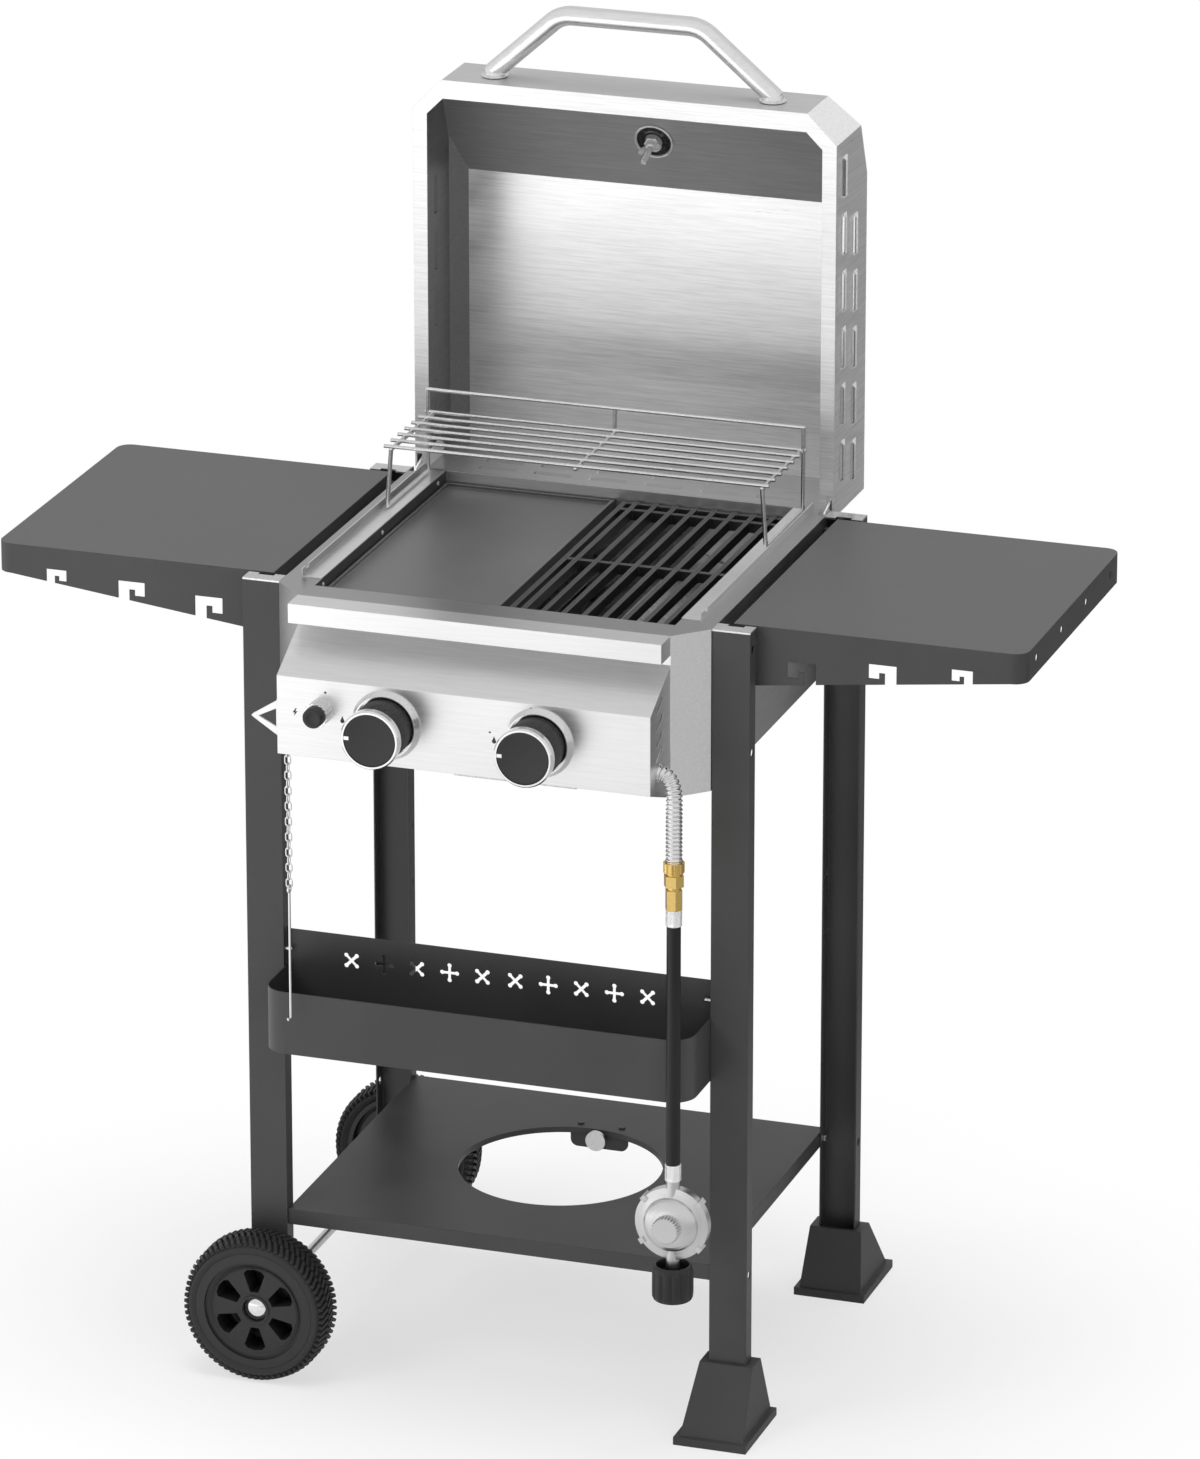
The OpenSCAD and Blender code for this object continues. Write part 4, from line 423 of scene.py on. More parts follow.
def makeFacingGroup():
    # masks of the faces that look up, down, to the middle, ahead near the front, back, and ahead to the
    # left, on which brushedMetal paints shade
    group, given, result = newShaderGroup("faceMasks", [("Middle Reach", "NodeSocketFloat", 0.1)],
                                          [(label, "NodeSocketFloat") for label in faceMasks])
    place = addNode(group, "ShaderNodeTexCoord")
    look = addNode(group, "ShaderNodeSeparateXYZ")
    feed(group, look.inputs[0], place.outputs["Normal"])
    spot = addNode(group, "ShaderNodeSeparateXYZ")
    feed(group, spot.inputs[0], place.outputs["Object"])
    feed(group, result.inputs["Up"], rangeNode(group, look.outputs[2], 0.7, 0.95, 0.0, 1.0))
    feed(group, result.inputs["Down"], rangeNode(group, look.outputs[2], -0.15, -0.3, 0.0, 1.0))
    ahead = rangeNode(group, look.outputs[1], -0.8, -0.95, 0.0, 1.0)
    near = mathNode(group, "LESS_THAN", spot.outputs[1], frontEnd)
    feed(group, result.inputs["Front"], product(group, ahead, near))
    feed(group, result.inputs["Rear"], rangeNode(group, look.outputs[1], 0.6, 0.85, 0.0, 1.0))
    aside = rangeNode(group, look.outputs[0], -0.35, -0.5, 0.0, 1.0)
    slanted = rangeNode(group, look.outputs[1], -0.2, -0.35, 0.0, 1.0)
    feed(group, result.inputs["Left Corner"], product(group, aside, slanted))
    lean = product(group, look.outputs[0], spot.outputs[0])
    reach = product(group, given.outputs["Middle Reach"], -1.0)
    feed(group, result.inputs["Inward"], mathNode(group, "LESS_THAN", lean, reach))
    return group


edgeGroup = makeEdgeGroup()
facingGroup = makeFacingGroup()
brushGroup = makeBrushGroup()
grainGroup = makeGrainGroup()


# materials
def newMaterial(name):
    material = bpy.data.materials.new(name)
    material.use_nodes = True
    tree = material.node_tree
    return material, tree, tree.nodes["Principled BSDF"]


def useGroup(tree, group, **values):
    node = addNode(tree, "ShaderNodeGroup", node_tree=group)
    for label, value in values.items():
        feed(tree, node.inputs[label.replace("_", " ")], value)
    return node


def addRelief(tree, shader, height, strength, depth, edges):
    # a fine relief over the rounded edges
    bump = addNode(tree, "ShaderNodeBump")
    bump.inputs["Strength"].default_value = strength
    bump.inputs["Distance"].default_value = depth
    feed(tree, bump.inputs["Height"], height)
    feed(tree, bump.inputs["Normal"], edges.outputs["Normal"])
    feed(tree, shader.inputs["Normal"], bump.outputs[0])


def grey(value, tint=(1.0, 1.0, 1.0)):
    return (value * tint[0], value * tint[1], value * tint[2], 1.0)


reliefDepth = {"brushed": 0.0004, "grained": 0.0003}
softerInside = 0.14  # how much rougher the faces are that look down or inward, where painted shade darkens them
brushedEdge = 0.0008  # radius of the rounded edges
middleReach = 0.1  # faces this far from the middle and turned to it count as inward


def brushedMetal(name, dark, light, rough, lines=700.0, reach=24.0, relief=0.06, wearAndHighlight=0.35, metal=1.0,
                 **paintedShades):
    # painted shade: each entry of paintedShades darkens the base colour of the faces of the mask it is named
    # after, standing in for the shade and dim reflections on those faces
    material, tree, shader = newMaterial(name)
    brush = useGroup(tree, brushGroup, Line_Length=reach, Line_Count=lines)
    edges = useGroup(tree, edgeGroup, Radius=brushedEdge)
    faces = useGroup(tree, facingGroup, Middle_Reach=middleReach)
    tone = mixColour(tree, brush.outputs["Streaks"], dark, light)
    # painted highlight: the rounded edges of the metal are lightened towards 0.97
    wornAndHighlit = mixColour(tree, product(tree, edges.outputs["Edge"], wearAndHighlight), tone, grey(0.97))
    share = {label: maskShare(tree, faces.outputs[label], paintedShades.get(label.replace(" ", ""), 1.0))
             for label in faceMasks}
    # painted shade on the faces that look down or inward, the darker of the two
    hollow = mathNode(tree, "MINIMUM", share["Down"], share["Inward"])
    shade = addNode(tree, "ShaderNodeVectorMath", operation="SCALE")
    feed(tree, shade.inputs[0], wornAndHighlit)
    feed(tree, shade.inputs["Scale"], product(tree, share["Up"], hollow, share["Front"], share["Rear"],
                                              share["Left Corner"]))
    feed(tree, shader.inputs["Base Color"], shade.outputs[0])
    shader.inputs["Metallic"].default_value = metal
    base = rangeNode(tree, brush.outputs["Clouds"], 0.0, 1.0, rough * 0.9, rough * 1.12)
    streaked = mathNode(tree, "ADD", base, product(tree, brush.outputs["Streaks"], 0.04))
    lined = mathNode(tree, "MAXIMUM", faces.outputs["Down"], faces.outputs["Inward"])
    softer = rangeNode(tree, lined, 0.0, 1.0, 0.0, softerInside if "Inward" in paintedShades else 0.0)
    feed(tree, shader.inputs["Roughness"], mathNode(tree, "ADD", streaked, softer, clamp=True))
    addRelief(tree, shader, brush.outputs["Height"], relief, reliefDepth["brushed"], edges)
    return material


def plainMetal(name, low, high, rough, grain=500.0, edge=0.0006, relief=0.05, metal=1.0):
    material, tree, shader = newMaterial(name)
    coat = useGroup(tree, grainGroup, Grain=grain)
    edges = useGroup(tree, edgeGroup, Radius=edge)
    tone = mixColour(tree, coat.outputs["Tone"], low, high)
    feed(tree, shader.inputs["Base Color"], mixColour(tree, coat.outputs["Specks"], tone, high))
    shader.inputs["Metallic"].default_value = metal
    gloss = rangeNode(tree, coat.outputs["Tone"], 0.0, 1.0, rough * 0.8, rough * 1.2)
    feed(tree, shader.inputs["Roughness"], gloss)
    addRelief(tree, shader, coat.outputs["Height"], relief, reliefDepth["grained"], edges)
    return material


def coated(name, low, high, rough, grain=900.0, edge=0.0012, relief=0.12, wearAndHighlight=0.25, gloss=0.5, rubbedAndHighlit=0.16):
    # the tone given for the edges, partly where the coat has worn and partly a painted highlight on the
    # edges
    material, tree, shader = newMaterial(name)
    coat = useGroup(tree, grainGroup, Grain=grain)
    edges = useGroup(tree, edgeGroup, Radius=edge)
    tone = mixColour(tree, coat.outputs["Tone"], grey(low), grey(high))
    specked = mixColour(tree, product(tree, coat.outputs["Specks"], 0.25), tone, grey(high * 1.25))
    # edges lightened towards their given tone, partly coat wear and partly a painted highlight
    wornAndHighlit = mixColour(tree, product(tree, edges.outputs["Edge"], wearAndHighlight), specked, grey(rubbedAndHighlit))
    feed(tree, shader.inputs["Base Color"], wornAndHighlit)
    matt = rangeNode(tree, coat.outputs["Tone"], 0.0, 1.0, rough * 0.9, rough * 1.1)
    feed(tree, shader.inputs["Roughness"], matt)
    shader.inputs["Specular IOR Level"].default_value = gloss
    addRelief(tree, shader, coat.outputs["Height"], relief, reliefDepth["grained"], edges)
    return material


def glassMaterial(name):
    material, tree, shader = newMaterial(name)
    coat = useGroup(tree, grainGroup, Grain=120.0)
    feed(tree, shader.inputs["Roughness"], rangeNode(tree, coat.outputs["Tone"], 0.0, 1.0, 0.02, 0.08))
    shader.inputs["Base Color"].default_value = (0.96, 0.98, 0.97, 1.0)
    shader.inputs["Transmission Weight"].default_value = 1.0
    shader.inputs["IOR"].default_value = 1.45
    return material


slotMaterials = {
    "painted_steel": coated("charcoalPowder", 0.05, 0.062, 0.4, gloss=0.42, rubbedAndHighlit=0.12),
    "bare_steel": plainMetal("zincPlate", grey(0.66), grey(0.82), 0.3),
    # painted shade: the front faces and the inward faces of the stainless are darkened
    "stainless": brushedMetal("brushedStainless", grey(0.85), grey(0.93), 0.33, relief=0.035, wearAndHighlight=0.7,
                              Front=0.88, Inward=0.6),
    "polished_steel": plainMetal("polishedSteel", grey(0.78), grey(0.9), 0.12, grain=250.0, relief=0.02),
    "foot_plastic": coated("mouldedFoot", 0.05, 0.06, 0.48, grain=1400.0, relief=0.18, gloss=0.35,
                           rubbedAndHighlit=0.09),
    "wheel_plastic": coated("mouldedWheel", 0.018, 0.024, 0.46, grain=1400.0, relief=0.15, rubbedAndHighlit=0.06),
    "tyre": coated("treadPlastic", 0.016, 0.022, 0.55, grain=1100.0, relief=0.2, rubbedAndHighlit=0.06),
    "knob_plastic": coated("knobBlack", 0.009, 0.013, 0.38, grain=1500.0, relief=0.08, rubbedAndHighlit=0.05,
                           wearAndHighlight=0.15),
    "griddle_enamel": coated("griddleEnamel", 0.068, 0.082, 0.33, grain=1300.0, relief=0.1, wearAndHighlight=0.3,
                             rubbedAndHighlit=0.3),
    "grate_enamel": coated("grateEnamel", 0.012, 0.018, 0.36, grain=1100.0, edge=0.0014, relief=0.2,
                           wearAndHighlight=0.7),
    "shield_steel": brushedMetal("heatTintedSteel", grey(0.5, (1.0, 0.98, 0.95)),
                                 grey(0.85, (1.0, 0.99, 0.97)), 0.4, lines=300.0, reach=200.0),
    "rack_wire": plainMetal("rackChrome", grey(0.72), grey(0.86), 0.2, grain=300.0, relief=0.03),
    "brass": plainMetal("turnedBrass", (0.75, 0.5, 0.13, 1.0), (0.92, 0.68, 0.26, 1.0), 0.2, grain=600.0),
    "zinc_cast": plainMetal("castZinc", grey(0.62), grey(0.76), 0.3, grain=900.0, edge=0.001, relief=0.14),
    "hose_rubber": coated("hoseRubber", 0.007, 0.011, 0.36, grain=1500.0, relief=0.1, wearAndHighlight=0.0, gloss=0.4),
    "dial_lens": glassMaterial("dialGlass"),
    "needle_paint": coated("needlePaint", 0.1, 0.14, 0.5, wearAndHighlight=0.0),
    "ceramic": coated("glazedCeramic", 0.62, 0.7, 0.25, wearAndHighlight=0.0),
}
# painted shade: the faces of the lid that look up, down, inward, ahead and back are darkened for the shade
# and dark reflections on them
lidSteel = brushedMetal("lidSteel", grey(0.82), grey(1.0), 0.3, relief=0.12, wearAndHighlight=0.7, metal=0.7,
                        Up=0.5, Down=0.58, Inward=0.28, Front=0.86, Rear=0.6)
# painted shade: the top, inward, front and front-left corner faces of the firebox are darkened for the shade
# and dim reflections on them
fireboxSteel = brushedMetal("fireboxSteel", grey(0.84), grey(0.93), 0.33, relief=0.04, wearAndHighlight=0.8,
                            Up=0.5, Inward=0.14, Front=0.9, LeftCorner=0.62)
brightSteel = plainMetal("brightSteel", grey(0.86), grey(0.96), 0.22, grain=400.0, relief=0.03, metal=0.35)
nodeMaterials = {"lid_shell": lidSteel, "thermometer_case": brightSteel, "firebox_shell": fireboxSteel,
                 "hinge_ears": brightSteel}
for row in frame["record"]["subparts"]:
    mesh = cadNodes[row["node"]].data
    mesh.materials.clear()
    mesh.materials.append(nodeMaterials.get(row["node"], slotMaterials[row["material_slot"]]))
print("Materials made")


# gas line
pipeFacts = {"valley": 0.0071, "crest": 0.0085, "pitch": 0.0044, "step": 0.00055, "sides": 32,
             "diameter": 0.017, "spanSteps": 8}
pipePoints = [
    (0.178, -0.2647, 0.7336), (0.186, -0.2647, 0.7336), (0.195, -0.2647, 0.7336), (0.203, -0.2652, 0.7326),
    (0.209, -0.267, 0.729), (0.2135, -0.270, 0.723), (0.216, -0.273, 0.716), (0.2172, -0.2756, 0.708),
    (0.2175, -0.2768, 0.699), (0.2175, -0.277, 0.690), (0.2175, -0.277, 0.672), (0.2175, -0.277, 0.6455)]
hoseFacts = {"radius": 0.00725, "top": 0.5776, "low": 0.3196, "x": 0.2175, "y": -0.277, "sides": 40,
             "step": 0.004, "spans": 20}
ferruleFacts = {"radius": 0.0084, "bore": 0.003, "edge": 0.0007, "bandShares": (0.2, 0.27, 0.73, 0.8),
                "flats": 8, "press": 0.0007, "sides": 64, "ends": [(0.5776, 0.5953), (0.302, 0.3196)]}
capFacts = {"z": 0.256, "backY": -0.2955, "frontY": -0.3038, "teeth": 26, "toothDepth": 0.0016, "sides": 240,
            "radius": 0.0146, "edge": [(0.0006, 0.0004), (0.0, 0.0012)],
            "lip": [(0.0105, 0.0004), (0.0116, 0.0)], "inner": 0.0132,
            "hollow": [(0.0132, 0.0014), (0.0105, 0.0008)]}
nutFacts = {"low": 0.1726, "top": 0.2099, "lobes": 12, "lobeDepth": 0.0018, "sides": 288,
            "radius": 0.0214, "lowEdge": [(0.0022, 0.0), (0.0016, 0.0006), (0.0001, 0.004), (0.0, 0.01)],
            "topEdge": [(0.0001, 0.008), (0.0016, 0.0045), (0.0022, 0.0006), (0.0028, 0.0)],
            "cup": 0.0172, "cupWall": [(0.0, 0.0), (0.0006, 0.0012), (0.001, 0.0109), (0.0097, 0.0112),
                                       (0.0097, 0.0155), (0.008, 0.016)],
            "bore": 0.0168, "boreWall": [(0.0076, 0.0138), (0.0, 0.0134)]}


def makeFerrules():
    # crimped round the hose, with one flat for each jaw of the press
    f = ferruleFacts
    bm = bmesh.new()
    place = Matrix.Translation((hoseFacts["x"], hoseFacts["y"], 0))

    def crimp(angle, step):
        return -f["press"] * (1.0 - wave(f["flats"], angle)) if 3 <= step <= 6 else 0.0

    for low, high in f["ends"]:
        r, bore, edge = f["radius"], f["bore"], f["edge"]
        bands = [(r, low + (high - low) * share) for share in f["bandShares"]]
        addLathe(bm, [(bore, low), (r - edge, low), (r, low + edge)] + bands
                 + [(r, high - edge), (r - edge, high), (bore, high), (bore, low)], f["sides"], place, crimp)
    ferrules = shadeSmooth(meshObject("crimpedFerrules", bm), 25)
    return finishPiece(ferrules, "cart", brightSteel, ["hose_ferrules"])


def makeRegulatorCap():
    f = capFacts
    depth = f["backY"] - f["frontY"]

    def tooth(angle, step):
        return -f["toothDepth"] * wave(f["teeth"], angle) if 2 <= step <= 4 else 0.0

    bm = bmesh.new()
    outside = f["lip"] + inset(f["edge"], f["radius"], 0.0) + [(f["radius"], depth), (f["inner"], depth)]
    place = standing(hoseFacts["x"], f["frontY"], f["z"])
    addLathe(bm, outside + f["hollow"] + f["lip"][:1], f["sides"], place, tooth)
    cap = shadeSmooth(meshObject("regulatorCap", bm), 40)
    return finishPiece(cap, "cart", slotMaterials["zinc_cast"])


def makeTankNut():
    f = nutFacts

    def lobe(angle, step):
        return -f["lobeDepth"] * wave(f["lobes"], angle) ** 3 if 3 <= step <= 5 else 0.0

    bm = bmesh.new()
    start = [(f["bore"], f["low"])]
    grip = inset(f["lowEdge"], f["radius"], f["low"]) + inset(f["topEdge"], f["radius"], f["top"], -1)
    inside = inset(f["cupWall"], f["cup"], f["top"], -1) + inset(f["boreWall"], f["bore"], f["low"])
    addLathe(bm, start + grip + inside + start, f["sides"],
             Matrix.Translation((hoseFacts["x"], hoseFacts["y"], 0)), lobe)
    nut = shadeSmooth(meshObject("handNut", bm), 40)
    return finishPiece(nut, "gas_nut", slotMaterials["knob_plastic"], ["tank_nut"])


def bakeTube(name, points, facts, valley, crest, pitch, material):
    return bakeTree(ribTree, name, lineMesh(name + "Line", points), {
        "Valley Radius": valley, "Crest Radius": crest, "Rib Pitch": pitch, "Step": facts["step"],
        "Sides": facts["sides"], "Material": material})


def makeGasLine():
    f, h = pipeFacts, hoseFacts
    steel, rubber = slotMaterials["polished_steel"], slotMaterials["hose_rubber"]
    route = smoothPath(pipePoints, f["spanSteps"])
    pipe = bakeTube("ribbedPipe", route, f, f["valley"], f["crest"], f["pitch"], steel)
    finishPiece(pipe, "cart", steel, ["corrugated_pipe"])
    drop = h["top"] - h["low"]
    line = [(h["x"], h["y"], h["top"] - drop * i / h["spans"]) for i in range(h["spans"] + 1)]
    hose = bakeTube("rubberHose", line, h, h["radius"], h["radius"], drop, rubber)
    finishPiece(hose, "cart", rubber, ["rubber_hose"])
    makeFerrules()
    makeRegulatorCap()
    makeTankNut()


makeGasLine()
print("Gas line made")


# lid handle
lidHinge = {"y": 0.1977, "z": 0.860}
handleFacts = {"span": 0.303, "bar": 0.152, "rise": 0.0685, "bend": 0.034, "bendSteps": 16,
               "radius": 0.01015, "tilt": math.atan2(8, 74.5), "frontY": -0.2309, "footZ": 0.9023,
               "footHeight": 0.006,
               "sunk": [(0.003, -0.003), (-0.0005, 0.0005)], "sides": 48, "step": 0.0025,
               "foot": [(0, 0), (0.0125, 0), (0.014, 0.0006), (0.014, 0.0018), (0.0125, 0.0026),
                        (0.0112, 0.0032), (0.0108, 0.0058), (0.010, 0.0078), (0.0, 0.0078)]}
handleSteel = brushedMetal("handleSteel", grey(0.84), grey(0.94), 0.26, lines=500.0, reach=40.0,
                           relief=0.012)


def openLid(point):
    # a point of the closed lid, carried to the open lid
    x, y, z = point
    return Vector((x, lidHinge["y"] + z - lidHinge["z"], lidHinge["z"] - y + lidHinge["y"]))


def handlePoint(x, rise):
    f = handleFacts
    out = f["frontY"] - f["footHeight"] - rise * math.cos(f["tilt"])
    return openLid((x, out, f["footZ"] - rise * math.sin(f["tilt"])))


def makeHandle():
    f = handleFacts
    turn = math.atan2(f["rise"], (f["span"] - f["bar"]) / 2)
    bendX = f["bar"] / 2 - f["bend"] * math.tan(turn / 2)
    half = [(f["span"] / 2 + aside, rise) for aside, rise in f["sunk"]]
    half.append(((f["span"] + f["bar"]) / 4, f["rise"] / 2))
    for i in range(f["bendSteps"] + 1):
        angle = math.pi / 2 - turn * (f["bendSteps"] - i) / f["bendSteps"]
        level = f["rise"] - f["bend"] + f["bend"] * math.sin(angle)
        half.append((bendX + f["bend"] * math.cos(angle), level))
    line = half + [(-x, z) for x, z in reversed(half)]
    points = [handlePoint(x, z) for x, z in line]
    tube = bakeTube("handleTube", points, f, f["radius"], f["radius"], f["span"], handleSteel)
    finishPiece(tube, "lid", handleSteel, ["lid_handle"])
    bm = bmesh.new()
    for side in (-1, 1):
        centre = openLid((side * f["span"] / 2, f["frontY"], f["footZ"]))
        addLathe(bm, f["foot"], f["sides"], Matrix.Translation(centre))
    feet = shadeSmooth(meshObject("handleFeet", bm), 40)
    finishPiece(feet, "lid", handleSteel)


makeHandle()
print("Lid handle made")


# tyres
tyreFacts = {"radius": 0.0799, "centreX": -0.2507, "innerY": 0.204, "axleZ": 0.080, "sides": 140,
             "innerWall": [(0.0641, 0.0065), (0.0672, 0.0052), (0.0695, 0.0022), (0.0715, 0.0016),
                           (0.0735, 0.0042)],
             "crown": [(0.0008, 0.009), (0.0, 0.0125), (-0.0002, 0.023), (0.0, 0.0335), (0.0012, 0.0385)],
             "outerWall": [(0.0728, 0.0432), (0.0705, 0.0454), (0.0685, 0.046), (0.0668, 0.0452),
                           (0.0655, 0.0445), (0.0641, 0.044)]}
# each row of lugs has its height on the tyre, its phase, its lean to the side and its slant
lugFacts = {"count": 70, "height": 0.0042, "length": 0.0135, "width": 0.0034, "slant": 24,
            "sunk": 0.0004, "shoulderSunk": 0.0016,
            "rows": [(0.0382, 1.0, -0.30, 1), (0.0262, 0.0, 0.0, 1), (0.0142, 0.5, 0.0, -1),
                     (0.0076, 0.0, 0.30, -1)],
            "footShares": [(-1.35, -1.0), (1.35, -1.0), (1.5, 1.0), (-1.5, 1.0)],
            "topShares": [(-0.8, -0.96), (0.8, -0.96), (1.0, 0.88), (-1.0, 0.88)]}
backFacts = {"radius": 0.0545, "bore": 0.0168, "low": 0.0085, "thick": 0.002, "dish": 0.001, "hub": 0.03,
             "ring": (0.046, 0.044, 0.042, 0.04), "collar": (0.028, 0.026), "ribDepth": 0.0012, "sides": 72}


def wheelPlace(side):
    f = tyreFacts
    return standing(f["centreX"], side * f["innerY"], f["axleZ"], side)


def makeLug():
    f = lugFacts
    bm = bmesh.new()
    w, l = f["width"] / 2, f["length"] / 2
    low = [bm.verts.new((w * x, l * y, 0)) for x, y in f["footShares"]]
    high = [bm.verts.new((w * x, l * y, f["height"])) for x, y in f["topShares"]]
    bm.faces.new(list(reversed(low)))
    bm.faces.new(high)
    for k in range(4):
        n = (k + 1) % 4
        bm.faces.new((low[k], low[n], high[n], high[k]))
    lug = meshObject("treadLug", bm)
    lug.hide_render = True
    return lug


def lugSpots(turnIn, base):
    # a place on the tyre for each lug, and the angles that turn the lug to it
    f = lugFacts
    places, turns = [], []
    for height, phase, lean, slant in f["rows"]:
        for k in range(f["count"]):
            angle = 2 * math.pi * (k + phase) / f["count"]
            radius = base - (f["shoulderSunk"] if lean else f["sunk"])
            outward = Vector((math.cos(angle), math.sin(angle), 0))
            across = Vector((0, 0, 1))
            along = Matrix.Rotation(math.radians(f["slant"] * slant), 3, outward) @ across
            up = (outward * math.cos(lean) - across * math.sin(lean)).normalized()
            along = (along - up * along.dot(up)).normalized()
            basis = Matrix((along.cross(up), along, up)).transposed()
            places.append(turnIn @ Vector((radius * math.cos(angle), radius * math.sin(angle), height)))
            turns.append(tuple((turnIn.to_3x3() @ basis).to_euler("XYZ")))
    return places, turns


def makeTyre(name, side, lug):
    f, rubber = tyreFacts, slotMaterials["tyre"]
    base = f["radius"] - lugFacts["height"]
    bm = bmesh.new()
    addLathe(bm, f["innerWall"] + inset(f["crown"], base, 0.0) + f["outerWall"] + f["innerWall"][:1],
             f["sides"], wheelPlace(side))
    carcass = shadeSmooth(meshObject(name, bm), 50)
    places, turns = lugSpots(wheelPlace(side), base)
    tread = bakeTree(scatterTree, name + "Tread", pointMesh(name + "Spots", places, turns), {
        "Piece": lug, "Size": 1.0, "Material": rubber})
    body = "front_wheel" if side < 0 else "rear_wheel"
    finishPiece(carcass, body, rubber, ["tyre_front" if side < 0 else "tyre_rear"])
    finishPiece(tread, body, rubber)


def makeWheelBack(name, side):
    # the web behind the windows, a little short of the rim
    f = backFacts
    low, high = f["low"], f["low"] + f["thick"]
    rib = high + f["ribDepth"]
    start = [(f["bore"], low)]
    web = [(f["hub"], low), (f["radius"], low + f["dish"]), (f["radius"], high + f["dish"])]
    ring = list(zip(f["ring"], (high, rib, rib, high)))
    collar = list(zip(f["collar"], (high, rib))) + [(f["bore"], rib)]
    bm = bmesh.new()
    addLathe(bm, start + web + ring + collar + start, f["sides"], wheelPlace(side))
    back = shadeSmooth(meshObject(name, bm), 30)
    body = "front_wheel" if side < 0 else "rear_wheel"
    finishPiece(back, body, slotMaterials["wheel_plastic"])


def makeTyres():
    lug = makeLug()
    makeTyre("frontTyre", -1, lug)
    makeTyre("rearTyre", 1, lug)
    bpy.data.objects.remove(lug)
    makeWheelBack("frontWheelBack", -1)
    makeWheelBack("rearWheelBack", 1)


makeTyres()
print("Tyres made")


# knobs and igniter button
knobFacts = {"x": 0.081, "frontY": -0.344, "z": 0.762, "faceSides": 96, "gripSides": 720,
             "face": [(0, 0.0012), (0.0245, 0.0012), (0.0262, 0.0009), (0.0274, 0.0011), (0.0276, 0.0016),
                      (0.0276, 0.009)],
             "gripStart": 0.0094, "length": 0.044, "radius": 0.030, "bore": 0.0055, "boss": 0.0085,
             "frontEdge": [(0.0012, 0.0), (0.0004, 0.0006), (0.0001, 0.0014)],
             "backEdge": [(0.0, 0.0014), (0.0004, 0.0003), (0.0016, 0.0), (0.0042, 0.0), (0.0045, 0.012)],
             "cupDepth": 0.012, "flutes": 80, "fluteDepth": 0.0009}
buttonFacts = {"x": -0.1505, "frontY": -0.321, "z": 0.7695, "sides": 64,
               "profile": [(0, 0.0008), (0.0055, 0.0006), (0.0062, 0.0002), (0.009, 0.0001),
                           (0.0101, 0.0006), (0.0106, 0.0018), (0.0106, 0.0275), (0, 0.0275)]}


def makeKnob(name, side):
    f, plastic = knobFacts, slotMaterials["knob_plastic"]
    place = standing(side * f["x"], f["frontY"], f["z"])
    bm = bmesh.new()
    addLathe(bm, f["face"], f["faceSides"], place)
    face = shadeSmooth(meshObject(name + "Face", bm), 30)

    def flute(angle, step):
        return -f["fluteDepth"] * wave(f["flutes"], angle) if 2 <= step <= 5 else 0.0

    start, end = f["gripStart"], f["length"]
    bore = [(f["bore"], start)]
    edges = inset(f["frontEdge"], f["radius"], start) + inset(f["backEdge"], f["radius"], end, -1)
    boss = [(f["boss"], end - f["cupDepth"]), (f["boss"], end), (f["bore"], end)]
    bm = bmesh.new()
    addLathe(bm, bore + edges + boss + bore, f["gripSides"], place, flute)
    grip = shadeSmooth(meshObject(name + "Grip", bm), 50)
    body = "left_knob" if side < 0 else "right_knob"
    finishPiece(grip, body, plastic, ["knob_left" if side < 0 else "knob_right"])
    finishPiece(face, body, plastic)


def makeButton():
    f = buttonFacts
    bm = bmesh.new()
    addLathe(bm, f["profile"], f["sides"], standing(f["x"], f["frontY"], f["z"]))
    button = shadeSmooth(meshObject("sparkButton", bm), 40)
    finishPiece(button, "igniter", slotMaterials["knob_plastic"], ["igniter_button"])


makeKnob("leftKnob", -1)
makeKnob("rightKnob", 1)
makeButton()
print("Knobs made")


# marks on the control panel
markFacts = {"panelY": -0.2936, "lift": 0.00012, "dotSides": 20, "flameSides": 28,
             "dots": [(-0.146, 0.789, 0.0012), (-0.0906, 0.796, 0.0012), (0.0726, 0.797, 0.0012),
                      (0.029, 0.767, 0.0011)],
             "flames": [(-0.128, 0.761), (0.0334, 0.758)], "flameWidth": 0.0023, "flameTaper": 0.55,
             "flameHeight": 0.0024, "flameTip": 0.0026, "spark": (-0.1787, 0.7647),
             "bolt": [(0.0018, 0.0042), (0.0003, 0.0009), (0.0026, 0.0009), (-0.0012, -0.0042),
                      (-0.0004, -0.0006), (-0.0026, -0.0006), (0.0006, 0.0042)]}
markInk = coated("markInk", 0.02, 0.035, 0.5, wearAndHighlight=0.0, relief=0.05)


def turnPoints(count, start=0.0):
    return [start + 2 * math.pi * k / count for k in range(count)]


def flameOutline(x, z):
    # round below, and drawn to a tip above
    f = markFacts
    outline = []
    for angle in turnPoints(f["flameSides"], -math.pi / 2):
        rise = math.sin(angle)
        upper = max(0.0, rise)
        width = f["flameWidth"] * (1 - f["flameTaper"] * upper ** 1.2)
        level = f["flameHeight"] * rise + f["flameTip"] * upper ** 3
        outline.append((x + width * math.cos(angle), z + level))
    return outline


def dotOutline(x, z, radius):
    return [(x + radius * math.cos(angle), z + radius * math.sin(angle))
            for angle in turnPoints(markFacts["dotSides"])]


def makeMarks():
    f = markFacts
    outlines = [dotOutline(*dot) for dot in f["dots"]]
    outlines += [flameOutline(x, z) for x, z in f["flames"]]
    outlines.append([(f["spark"][0] + dx, f["spark"][1] + dz) for dx, dz in f["bolt"]])
    bm = bmesh.new()
    for outline in outlines:
        addPrism(bm, outline, f["lift"], standing(0, f["panelY"], 0, -1))
    finishPiece(meshObject("panelMarks", bm), "cart", markInk)


makeMarks()
print("Panel marks made")


